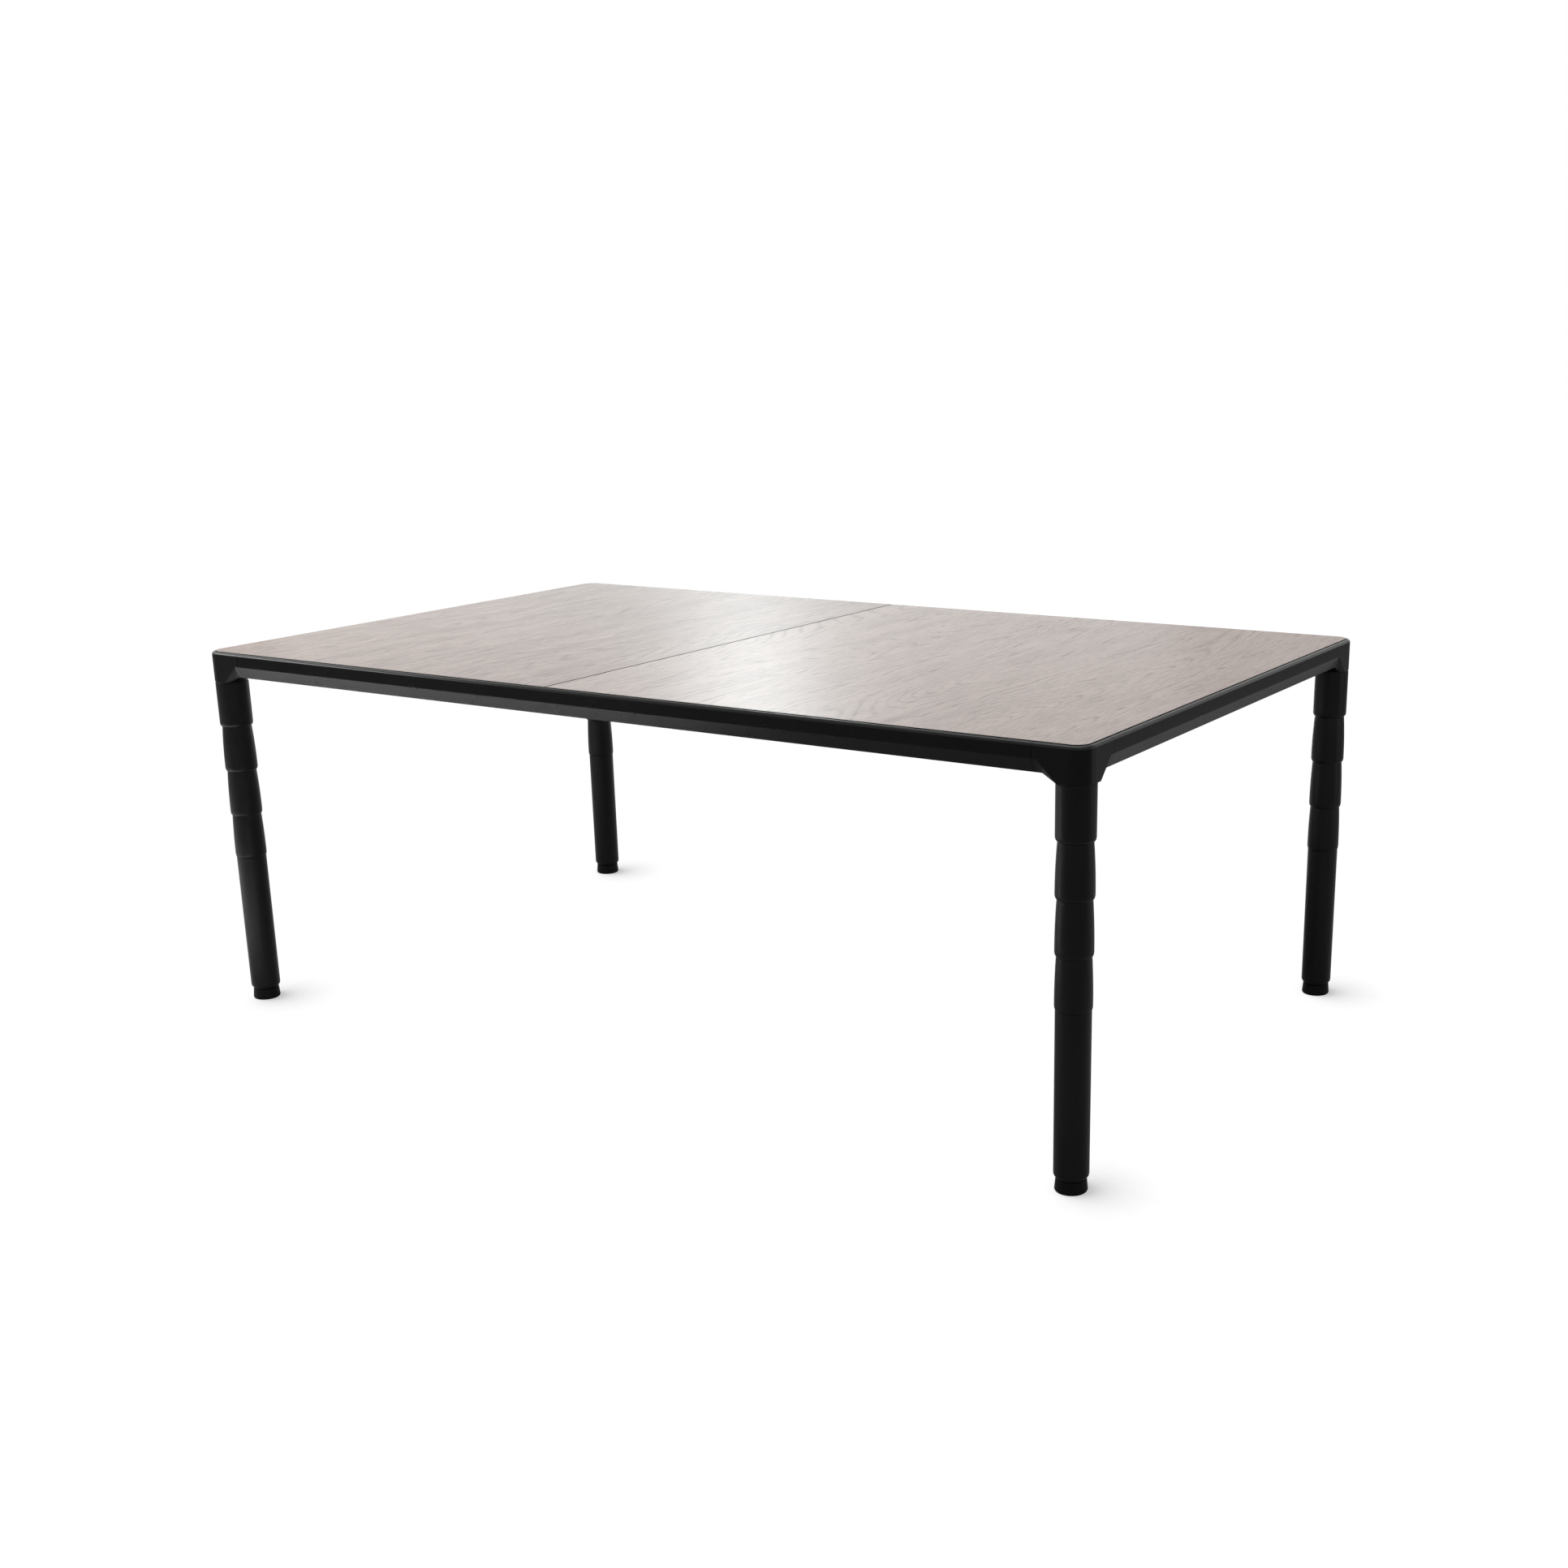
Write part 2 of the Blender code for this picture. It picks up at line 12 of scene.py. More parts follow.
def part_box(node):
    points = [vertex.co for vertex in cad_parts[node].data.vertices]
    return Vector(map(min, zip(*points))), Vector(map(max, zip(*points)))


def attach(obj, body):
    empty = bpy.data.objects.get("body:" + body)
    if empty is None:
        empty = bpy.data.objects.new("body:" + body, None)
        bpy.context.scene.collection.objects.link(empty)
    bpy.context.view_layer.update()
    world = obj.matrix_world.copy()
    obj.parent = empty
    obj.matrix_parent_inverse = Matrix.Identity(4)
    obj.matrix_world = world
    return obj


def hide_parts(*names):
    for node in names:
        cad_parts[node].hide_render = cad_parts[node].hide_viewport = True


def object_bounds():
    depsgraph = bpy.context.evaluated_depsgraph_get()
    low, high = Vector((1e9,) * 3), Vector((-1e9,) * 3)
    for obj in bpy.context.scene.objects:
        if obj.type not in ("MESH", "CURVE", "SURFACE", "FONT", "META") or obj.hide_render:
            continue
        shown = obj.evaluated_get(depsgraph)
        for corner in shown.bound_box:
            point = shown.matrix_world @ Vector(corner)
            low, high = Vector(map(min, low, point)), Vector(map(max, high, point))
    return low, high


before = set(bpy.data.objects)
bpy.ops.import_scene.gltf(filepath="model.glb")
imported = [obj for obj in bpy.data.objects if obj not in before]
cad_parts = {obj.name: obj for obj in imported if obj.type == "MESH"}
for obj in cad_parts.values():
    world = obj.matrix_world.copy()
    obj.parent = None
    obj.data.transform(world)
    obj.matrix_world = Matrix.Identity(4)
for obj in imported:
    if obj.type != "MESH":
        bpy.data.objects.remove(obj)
cad_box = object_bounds()


# Frame beams
# Four aluminium extrusions make the rim around the top: a rounded lip, an upright face and a face that slants
# in below it. They are powder coated satin black, cut square, and pushed onto the corner castings.
MM = 0.001
HALF_LENGTH = cad_box[1].x
HALF_WIDTH = cad_box[1].y
BEAM_LOW, BEAM_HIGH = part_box("front_beam")
BEAM_WIDTH = BEAM_HIGH.y - BEAM_LOW.y
BEAM_BOTTOM = BEAM_LOW.z
RIM_TOP = BEAM_HIGH.z
PANEL_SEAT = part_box("cross_beam")[1].z
RIM_WIDTH = 7.5 * MM
RIM_ROUND = 6 * MM
FACE_BELOW_SEAT = 2 * MM
FACE_BOTTOM = PANEL_SEAT - FACE_BELOW_SEAT
SLANT_IN = 10 * MM
EDGE_ROUND = 1 * MM
FINE_ROUND = 0.5 * MM
END_CHAMFER = 0.4 * MM
ARC_STEPS = 6
MERGE_DISTANCE = 0.002 * MM
SHARP_ANGLE = math.radians(32)


def rounded_corner(before, corner, after, radius, steps):
    """The arc that rounds one corner of an outline, as evenly turned points."""
    back = (before - corner).normalized()
    ahead = (after - corner).normalized()
    half = back.angle(ahead) / 2
    middle = corner + (back + ahead).normalized() * radius / math.sin(half)
    start = (corner + back * radius / math.tan(half) - middle).normalized()
    end = (corner + ahead * radius / math.tan(half) - middle).normalized()
    return [middle + start.slerp(end, i / steps) * radius for i in range(steps + 1)]


def filleted(corners, steps=ARC_STEPS, sharp_copies=1):
    """A closed outline of (x, y, radius) corners, each rounded. A sharp corner may be repeated."""
    points = [Vector(corner[:2]) for corner in corners]
    loop = []
    for i, (_, _, radius) in enumerate(corners):
        if radius:
            loop += rounded_corner(points[i - 1], points[i], points[(i + 1) % len(points)], radius, steps)
        else:
            loop += [points[i]] * sharp_copies
    return loop


def drawn_in(loop, amount):
    """The outline with every point moved towards its middle, for a small chamfer at a cut end."""
    middle = sum(loop, Vector((0, 0))) / len(loop)
    return [point + (middle - point).normalized() * amount for point in loop]


def stacked(loops):
    """A closed shape skinned over loops of as many points each, with its ends capped."""
    bm = bmesh.new()
    rings = [[bm.verts.new(point) for point in loop] for loop in loops]
    for lower, upper in zip(rings, rings[1:]):
        for i in range(len(lower)):
            bm.faces.new((lower[i - 1], lower[i], upper[i], upper[i - 1]))
    bm.faces.new(reversed(rings[0]))
    bm.faces.new(rings[-1])
    return bm


def cut_to_length(loop, start, end):
    """A bar along X of the given (Y, Z) section, chamfered at both cut ends."""
    small = drawn_in(loop, END_CHAMFER)
    stations = [(start, small), (start + END_CHAMFER, loop), (end - END_CHAMFER, loop), (end, small)]
    return stacked([[(x, point.x, point.y) for point in section] for x, section in stations])


def close_up(bm):
    """Merges a shape's doubled points and turns its faces outwards."""
    bmesh.ops.remove_doubles(bm, verts=bm.verts, dist=MERGE_DISTANCE)
    bmesh.ops.recalc_face_normals(bm, faces=bm.faces)


def smooth_mesh(name, bm):
    """A shape's mesh, with smooth faces and sharp edges. The shape itself is used up."""
    mesh = bpy.data.meshes.new(name)
    bm.to_mesh(mesh)
    bm.free()
    mesh.shade_smooth()
    mesh.set_sharp_from_angle(angle=SHARP_ANGLE)
    return mesh


def finished(name, bm, materials, node, body="table", place=Matrix.Identity(4)):
    """The piece that stands for a node: placed, closed, evenly shaded and riding on its body."""
    bmesh.ops.transform(bm, matrix=place, verts=bm.verts)
    close_up(bm)
    mesh = smooth_mesh(name, bm)
    for material in materials:
        mesh.materials.append(material)
    piece = bpy.data.objects.new(name, mesh)
    bpy.context.scene.collection.objects.link(piece)
    shading = piece.modifiers.new("even_shading", "WEIGHTED_NORMAL")
    shading.keep_sharp = True
    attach(piece, body)
    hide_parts(node)
    return piece


def add_node(tree, kind, inputs=None, **settings):
    """A node with its settings, and with its inputs set to values or linked to other nodes' outputs."""
    made = tree.nodes.new(kind)
    for name, value in settings.items():
        setattr(made, name, value)
    for key, value in (inputs or {}).items():
        if isinstance(value, bpy.types.NodeSocket):
            tree.links.new(value, made.inputs[key])
        else:
            made.inputs[key].default_value = value
    return made


def new_group(name, inputs, outputs):
    """A shader node group with named sockets, and its input and output nodes."""
    group = bpy.data.node_groups.new(name, "ShaderNodeTree")
    for label, kind in inputs.items():
        group.interface.new_socket(label, in_out="INPUT", socket_type=kind)
    for label in outputs:
        group.interface.new_socket(label, in_out="OUTPUT", socket_type="NodeSocketFloat")
    return group, group.nodes.new("NodeGroupInput"), group.nodes.new("NodeGroupOutput")


def new_material(name):
    """An empty node material, its tree and its shader."""
    material = bpy.data.materials.new(name)
    material.use_nodes = True
    tree = material.node_tree
    return material, tree, tree.nodes["Principled BSDF"]


def shades(tree, factor, *colors):
    """Colours laid evenly over a factor from 0 to 1."""
    ramp = add_node(tree, "ShaderNodeValToRGB", {"Fac": factor})
    stops = ramp.color_ramp.elements
    while len(stops) < len(colors):
        stops.new(0.5)
    for i, color in enumerate(colors):
        stops[i].position = i / (len(colors) - 1)
        stops[i].color = (*color, 1)
    return ramp.outputs["Color"]


def spread(tree, value, low, high):
    """A factor from 0 to 1 spread over a range."""
    made = add_node(tree, "ShaderNodeMapRange", {"Value": value, "To Min": low, "To Max": high})
    return made.outputs["Result"]


def calculated(tree, operation, first, second=0.0, third=0.0):
    """One arithmetic step between values or outputs."""
    made = add_node(tree, "ShaderNodeMath", {0: first, 1: second, 2: third}, operation=operation)
    return made.outputs["Value"]


def relief(tree, height, depth, strength):
    """A surface that stands up by a height from 0 to 1 times the depth."""
    made = add_node(tree, "ShaderNodeBump", {"Height": height, "Distance": depth, "Strength": strength})
    return made.outputs["Normal"]


def skin_noise(tree, spot, scale, detail):
    """Noise all through a piece's own space, in cells per metre."""
    made = add_node(tree, "ShaderNodeTexNoise", {"Vector": spot, "Scale": scale, "Detail": detail})
    return made.outputs["Fac"]


def coat_grain_group():
    """The skin of a sprayed or moulded surface: fine peel, cloudy gloss, and a little settled dust."""
    group, given, result = new_group(
        "coat_grain", {"Peel": "NodeSocketFloat", "Cloud": "NodeSocketFloat"}, ("Height", "Gloss", "Shade")
    )
    spot = add_node(group, "ShaderNodeTexCoord").outputs["Object"]
    peel = skin_noise(group, spot, given.outputs["Peel"], detail=2)
    cloud = skin_noise(group, spot, given.outputs["Cloud"], detail=4)
    speck = skin_noise(group, spot, given.outputs["Peel"], detail=5)
    group.links.new(peel, result.inputs["Height"])
    group.links.new(cloud, result.inputs["Gloss"])
    group.links.new(calculated(group, "MULTIPLY", cloud, speck), result.inputs["Shade"])
    return group


COAT_GRAIN = coat_grain_group()
COAT_CLOUDS = 9
COAT_RELIEF = 0.5
FRAME_BLACKS = ((0.001, 0.001, 0.001), (0.006, 0.006, 0.006))


def coated(name, blacks, roughness, peel, depth, specular):
    """A black coated or moulded surface: its tones, range of roughness, peel per metre and peel's depth."""
    material, tree, shader = new_material(name)
    grain = add_node(tree, "ShaderNodeGroup", {"Peel": peel, "Cloud": COAT_CLOUDS}, node_tree=COAT_GRAIN)
    tree.links.new(shades(tree, grain.outputs["Shade"], *blacks), shader.inputs["Base Color"])
    tree.links.new(spread(tree, grain.outputs["Gloss"], *roughness), shader.inputs["Roughness"])
    tree.links.new(relief(tree, grain.outputs["Height"], depth, COAT_RELIEF), shader.inputs["Normal"])
    shader.inputs["Specular IOR Level"].default_value = specular
    return material


powder_coat = coated("powder_coat", FRAME_BLACKS, (0.24, 0.30), peel=900, depth=0.01 * MM, specular=0.16)
rim_gloss = coated("rim_gloss", FRAME_BLACKS, (0.20, 0.26), peel=900, depth=0.01 * MM, specular=0.20)
beam_section = filleted([
    (0, RIM_TOP, RIM_ROUND),
    (RIM_WIDTH, RIM_TOP, FINE_ROUND),
    (RIM_WIDTH, PANEL_SEAT, FINE_ROUND),
    (BEAM_WIDTH, PANEL_SEAT, EDGE_ROUND),
    (BEAM_WIDTH, BEAM_BOTTOM, EDGE_ROUND),
    (SLANT_IN, BEAM_BOTTOM, EDGE_ROUND),
    (0, FACE_BOTTOM, EDGE_ROUND),
])
LEVEL_FACE = 0.999


def gloss_rim(bm):
    """Gives the rounded rim its smoother finish, as the second material."""
    for face in bm.faces:
        middle = face.calc_center_median()
        if middle.z > RIM_TOP - RIM_ROUND and abs(face.normal.z) < LEVEL_FACE:
            face.material_index = 1


SIDES = {
    "front": Matrix.Translation((0, -HALF_WIDTH, 0)),
    "back": Matrix.Translation((0, HALF_WIDTH, 0)) @ Matrix.Rotation(math.pi, 4, "Z"),
    "left": Matrix.Translation((-HALF_LENGTH, 0, 0)) @ Matrix.Rotation(-math.pi / 2, 4, "Z"),
    "right": Matrix.Translation((HALF_LENGTH, 0, 0)) @ Matrix.Rotation(math.pi / 2, 4, "Z"),
}
for side, place in SIDES.items():
    node = f"{side}_beam"
    low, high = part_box(node)
    half = max(high.x - low.x, high.y - low.y) / 2
    shape = cut_to_length(beam_section, -half, half)
    gloss_rim(shape)
    finished(f"beam_{side}", shape, [powder_coat, rim_gloss], node, place=place)


# Corner castings
# Four die castings join the beams and take the legs: round outside, with a slanted gusset under each arm and
# a boss around the leg's socket. They are coated like the beams, over a slightly grainier cast skin.
CORNERS = {"front_left": (-1, -1), "front_right": (1, -1), "back_left": (-1, 1), "back_right": (1, 1)}
LEG_LOW, LEG_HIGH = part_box("leg_tube_front_left")
LEG_X = -(LEG_LOW.x + LEG_HIGH.x) / 2
LEG_Y = -(LEG_LOW.y + LEG_HIGH.y) / 2
LEG_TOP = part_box("corner_casting_front_left")[0].z
CORNER_RADIUS = HALF_LENGTH - LEG_X
PLAY = 0.3 * MM
ARM_LENGTH = HALF_LENGTH + BEAM_LOW.x - PLAY
GUSSET_RUN = 54 * MM
GUSSET_STEP = 6 * MM
GUSSET_FOOT = 18.5 * MM
SOCKET_RADIUS = 25.3 * MM
SOCKET_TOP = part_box("leg_core_front_left")[1].z + PLAY
BOSS_RADIUS = SOCKET_RADIUS + 6 * MM
BOSS_BOTTOM = LEG_TOP + 0.3 * MM
BOSS_TOP = PANEL_SEAT - 1 * MM
BOLT_HOLE = 5.3 * MM
HEAD_HOLE = 8.8 * MM
HEAD_SEAT = BOSS_TOP - 7.8 * MM
CUT_PAST = 1 * MM
CORNER_STEPS = 24
ROUND_SEGMENTS = 96


def seat_reach(inwards):
    """How far the leg's round seat reaches along an arm, at a distance inwards from the outer face."""
    return math.sqrt(CORNER_RADIUS ** 2 - (CORNER_RADIUS - inwards) ** 2)


def quarter_turn(steps):
    """Evenly spaced angles over a quarter of a turn."""
    return [math.pi / 2 * i / steps for i in range(steps + 1)]


def casting_body():
    """The arms and the round corner in one skin. X and Y count inwards from the frame's corner."""
    rim = [
        (0, RIM_TOP, RIM_ROUND),
        (RIM_WIDTH, RIM_TOP, FINE_ROUND),
        (RIM_WIDTH, PANEL_SEAT, FINE_ROUND),
        (BEAM_WIDTH, PANEL_SEAT, EDGE_ROUND),
    ]
    at_arm = rim + [
        (BEAM_WIDTH, BEAM_BOTTOM, EDGE_ROUND),
        (SLANT_IN, BEAM_BOTTOM, EDGE_ROUND),
        (0, FACE_BOTTOM, EDGE_ROUND),
    ]
    at_leg = rim + [(BEAM_WIDTH, LEG_TOP, EDGE_ROUND), (SLANT_IN, LEG_TOP, 0), (0, LEG_TOP, EDGE_ROUND)]
    copies = ARC_STEPS + 1
    arm_section = filleted(at_arm)
    leg_section = filleted(at_leg, sharp_copies=copies)
    outer = (GUSSET_RUN, GUSSET_FOOT)
    lower = (GUSSET_RUN - GUSSET_STEP, seat_reach(SLANT_IN))
    inner = (GUSSET_RUN - GUSSET_STEP, seat_reach(BEAM_WIDTH))
    reaches = [reach for reach in (outer, outer, lower, inner, inner, lower, outer) for _ in range(copies)]
    ends = drawn_in(arm_section, END_CHAMFER)
    paths = []
    for end, arm, leg, (start, foot) in zip(ends, arm_section, leg_section, reaches):
        ahead = [
            (ARM_LENGTH, end.x, end.y),
            (ARM_LENGTH - END_CHAMFER, arm.x, arm.y),
            (CORNER_RADIUS + start, arm.x, arm.y),
            (CORNER_RADIUS + foot, leg.x, leg.y),
        ]
        center = max(leg.x, CORNER_RADIUS)
        radius = center - leg.x
        arc = [
            (center - radius * math.sin(turn), center - radius * math.cos(turn), leg.y)
            for turn in quarter_turn(CORNER_STEPS)
        ]
        behind = [(y, x, z) for x, y, z in reversed(ahead)]
        paths.append(ahead + arc + behind)
    return stacked(list(zip(*paths)))


def turned(profile, segments=ROUND_SEGMENTS):
    """A shape turned about Z from a closed loop of (radius, Z) points."""
    bm = bmesh.new()
    points = [bm.verts.new((radius, 0, z)) for radius, z in profile]
    edges = [
        bm.edges.new((points[i - 1], points[i]))
        for i in range(len(points))
        if profile[i - 1][0] > 0 or profile[i][0] > 0
    ]
    bmesh.ops.spin(
        bm, geom=points + edges, cent=(0, 0, 0), axis=(0, 0, 1),
        angle=2 * math.pi, steps=segments, use_merge=True,
    )
    return bm


def column(radius, bottom, top, center=(0, 0, 0)):
    """A plain round body, to add to a shape or to cut from it."""
    bm = turned([(0, top), (radius, top), (radius, bottom), (0, bottom)])
    bmesh.ops.translate(bm, verts=bm.verts, vec=center)
    return bm


def machined(bm, steps):
    """The shape after its Boolean steps, each an operation and another closed shape."""
    holders = []
    for shape in [bm] + [other for _, other in steps]:
        close_up(shape)
        mesh = bpy.data.meshes.new("blank")
        shape.to_mesh(mesh)
        shape.free()
        holders.append(bpy.data.objects.new("blank", mesh))
        bpy.context.scene.collection.objects.link(holders[-1])
    for (operation, _), other in zip(steps, holders[1:]):
        step = holders[0].modifiers.new(operation, "BOOLEAN")
        step.operation = operation
        step.solver = "EXACT"
        step.object = other
    graph = bpy.context.evaluated_depsgraph_get()
    result = bpy.data.meshes.new_from_object(holders[0].evaluated_get(graph))
    for holder in holders:
        bpy.data.objects.remove(holder, do_unlink=True)
    made = bmesh.new()
    made.from_mesh(result)
    return made


cast_coat = coated("cast_coat", FRAME_BLACKS, (0.26, 0.34), peel=700, depth=0.015 * MM, specular=0.17)
leg_center = (CORNER_RADIUS, CORNER_RADIUS, 0)
for corner, (side_x, side_y) in CORNERS.items():
    shape = machined(casting_body(), [
        ("UNION", column(BOSS_RADIUS, BOSS_BOTTOM, BOSS_TOP, leg_center)),
        ("DIFFERENCE", column(SOCKET_RADIUS, LEG_TOP - CUT_PAST, SOCKET_TOP, leg_center)),
        ("DIFFERENCE", column(BOLT_HOLE, LEG_TOP, RIM_TOP, leg_center)),
        ("DIFFERENCE", column(HEAD_HOLE, HEAD_SEAT, RIM_TOP, leg_center)),
    ])
    place = Matrix.Translation((side_x * HALF_LENGTH, side_y * HALF_WIDTH, 0))
    place = place @ Matrix.Diagonal((-side_x, -side_y, 1, 1))
    gloss_rim(shape)
    node = f"corner_casting_{corner}"
    finished(f"casting_{corner}", shape, [cast_coat, rim_gloss], node, place=place)


# Top panels
# Two boards lie in the frame and meet over the cross beam: wood-grain laminate on top with a pale cut edge, a
# black plastic band around the side, and a plain backing sheet below. At the seam the band's black also
# covers the eased top edges, as painted shade of the gap between the boards. The grain runs across the table.
PANEL_EDGE = 0.7 * MM
PANEL_CORNER = 24 * MM
LOWER_EDGE = 0.4 * MM
SEAM_EDGE_SHARE = 2.0
SEAM_EASED = 1.01 * PANEL_EDGE * SEAM_EDGE_SHARE
WOOD_PALE = (0.517, 0.416, 0.376)
WOOD_MIDDLE = (0.416, 0.323, 0.285)
WOOD_DARK = (0.200, 0.145, 0.120)
BEND_CELLS = (1.7, 1.1)
BEND_REACH = 0.09
WAVE_CELLS = (11, 6)
WAVE_REACH = 0.016
RING_CELLS = (4.6, 0.42)
RING_DENSITY = 310.0
RING_SHARPNESS = 4.0
BREAK_CELLS = (140, 18)
BREAK_RANGE = (0.25, 0.70)
FIBRE_CELLS = (260, 11)
FIBRE_RANGE = (0.30, 0.70)
FIBRE_SHARE = 0.40
PORE_CELLS = (800, 40)
PORE_RANGE = (0.55, 0.75)
PORE_SHARE = 0.62
PORE_SINK = -0.6
STREAK_CELLS = (18, 2.5)
STREAK_RANGE = (0.3, 0.7)
STREAK_SHARE = 0.24
LAMINATE_ROUGHNESS = (0.33, 0.37)
LAMINATE_SPECULAR = 0.35
EMBOSS_DEPTH = 0.02 * MM
EMBOSS_RELIEF = 0.15
SHEET_PEEL = 420
SHEET_CLOUDS = 25
SHEET_DEPTH = 0.03 * MM
SHEET_RELIEF = 0.3
SHEET_ROUGHNESS_RANGE = 0.2
TOP_FACE, RIDGE_FACE, BAND_FACE, BACK_FACE = 0, 1, 2, 3


def drawn_out_noise(tree, spot, cells, detail, roughness=0.5):
    """Flat noise with its cells drawn out: so many per metre across the grain, and so many along it."""
    drawn = add_node(tree, "ShaderNodeMapping", {"Vector": spot, "Scale": (*cells, 1)})
    noise = add_node(
        tree, "ShaderNodeTexNoise",
        {"Vector": drawn.outputs["Vector"], "Scale": 1, "Detail": detail, "Roughness": roughness},
        noise_dimensions="2D",
    )
    return noise.outputs["Fac"]


def stretched(tree, value, low, high):
    """A value's stretch from low to high, as 0 to 1."""
    made = add_node(tree, "ShaderNodeMapRange", {"Value": value, "From Min": low, "From Max": high})
    return made.outputs["Result"]


def wood_figure_group():
    """The drawing of flat-sawn wood with its grain along Y: growth rings, fibres, pores and tone."""
    group, given, result = new_group(
        "wood_figure", {"Shift": "NodeSocketVector"}, ("Rings", "Fibres", "Pores", "Tone")
    )
    spot = add_node(group, "ShaderNodeTexCoord").outputs["Object"]
    moved = add_node(group, "ShaderNodeVectorMath", {0: spot, 1: given.outputs["Shift"]}).outputs["Vector"]
    bend = drawn_out_noise(group, moved, BEND_CELLS, detail=2)
    bend = calculated(group, "MULTIPLY_ADD", bend, BEND_REACH, -BEND_REACH / 2)
    wave = drawn_out_noise(group, moved, WAVE_CELLS, detail=2)
    wave = calculated(group, "MULTIPLY_ADD", wave, WAVE_REACH, -WAVE_REACH / 2)
    aside = add_node(group, "ShaderNodeCombineXYZ", {"X": calculated(group, "ADD", bend, wave)})
    grain = add_node(group, "ShaderNodeVectorMath", {0: moved, 1: aside.outputs["Vector"]}).outputs["Vector"]
    field = drawn_out_noise(group, grain, RING_CELLS, detail=1.2)
    ring = calculated(group, "SINE", calculated(group, "MULTIPLY", field, RING_DENSITY))
    ring = calculated(group, "POWER", calculated(group, "MULTIPLY_ADD", ring, 0.5, 0.5), RING_SHARPNESS)
    broken = stretched(group, drawn_out_noise(group, grain, BREAK_CELLS, detail=2), *BREAK_RANGE)
    group.links.new(calculated(group, "MULTIPLY", ring, broken), result.inputs["Rings"])
    fibres = drawn_out_noise(group, grain, FIBRE_CELLS, detail=3, roughness=0.6)
    group.links.new(stretched(group, fibres, *FIBRE_RANGE), result.inputs["Fibres"])
    pores = drawn_out_noise(group, grain, PORE_CELLS, detail=2)
    group.links.new(stretched(group, pores, *PORE_RANGE), result.inputs["Pores"])
    streaks = drawn_out_noise(group, grain, STREAK_CELLS, detail=2)
    group.links.new(stretched(group, streaks, *STREAK_RANGE), result.inputs["Tone"])
    return group


WOOD_FIGURE = wood_figure_group()


def laminate(name, shift, painted_shade, rings):
    """One board's printed, lightly embossed laminate: its figure's shift, its painted shade and its rings'
    weight.
    """
    material, tree, shader = new_material(name)
    figure = add_node(tree, "ShaderNodeGroup", {"Shift": shift}, node_tree=WOOD_FIGURE).outputs
    # The shade added here is painted shade: it darkens a whole board's colour, the left one, to stand in for
    # less light falling on it.
    drawn = calculated(tree, "MULTIPLY_ADD", figure["Rings"], rings, painted_shade)
    drawn = calculated(tree, "MULTIPLY_ADD", figure["Fibres"], FIBRE_SHARE, drawn)
    drawn = calculated(tree, "MULTIPLY_ADD", figure["Pores"], PORE_SHARE, drawn)
    drawn = calculated(tree, "MULTIPLY_ADD", figure["Tone"], STREAK_SHARE, drawn)
    tree.links.new(shades(tree, drawn, WOOD_PALE, WOOD_MIDDLE, WOOD_DARK), shader.inputs["Base Color"])
    tree.links.new(spread(tree, figure["Fibres"], *LAMINATE_ROUGHNESS), shader.inputs["Roughness"])
    pressed = calculated(tree, "MULTIPLY_ADD", figure["Pores"], PORE_SINK, figure["Fibres"])
    tree.links.new(relief(tree, pressed, EMBOSS_DEPTH, EMBOSS_RELIEF), shader.inputs["Normal"])
    shader.inputs["Specular IOR Level"].default_value = LAMINATE_SPECULAR
    return material


def printed_sheet(name, tones, rough, specular):
    """The cut edge, the edge band or the backing sheet: one tone with a faint fleck."""
    material, tree, shader = new_material(name)
    fleck = {"Peel": SHEET_PEEL, "Cloud": SHEET_CLOUDS}
    grain = add_node(tree, "ShaderNodeGroup", fleck, node_tree=COAT_GRAIN)
    tree.links.new(shades(tree, grain.outputs["Gloss"], *tones), shader.inputs["Base Color"])
    roughness = spread(tree, grain.outputs["Shade"], rough, rough + SHEET_ROUGHNESS_RANGE)
    tree.links.new(roughness, shader.inputs["Roughness"])
    tree.links.new(relief(tree, grain.outputs["Height"], SHEET_DEPTH, SHEET_RELIEF), shader.inputs["Normal"])
    shader.inputs["Specular IOR Level"].default_value = specular
    return material


def panel_outline(length, half_width, inset, z):
    """A board's outline around the middle of its length, with its seam at +X and its round corners at -X."""
    radius = PANEL_CORNER - inset
    center_x = PANEL_CORNER - length / 2
    center_y = half_width - PANEL_CORNER
    turns = quarter_turn(CORNER_STEPS)
    seam = length / 2 - inset * SEAM_EDGE_SHARE
    loop = [(seam, half_width - inset, z)]
    loop += [(center_x - radius * math.sin(t), center_y + radius * math.cos(t), z) for t in turns]
    loop += [(center_x - radius * math.cos(t), -center_y - radius * math.sin(t), z) for t in turns]
    return loop + [(seam, inset - half_width, z)]


EDGE_TONES = ((0.46, 0.41, 0.37), (0.56, 0.50, 0.46))
# The band's black is the real band on the sides, and painted shade on the eased top edges at the seam.
BAND_TONES = ((0.008, 0.007, 0.007), (0.016, 0.015, 0.014))
BACK_TONES = ((0.46, 0.44, 0.42), (0.54, 0.52, 0.50))
sheet_edge = printed_sheet("sheet_edge", EDGE_TONES, rough=0.35, specular=0.4)
edge_band = printed_sheet("edge_band", BAND_TONES, rough=0.5, specular=0.1)
backing_sheet = printed_sheet("backing_sheet", BACK_TONES, rough=0.5, specular=0.4)
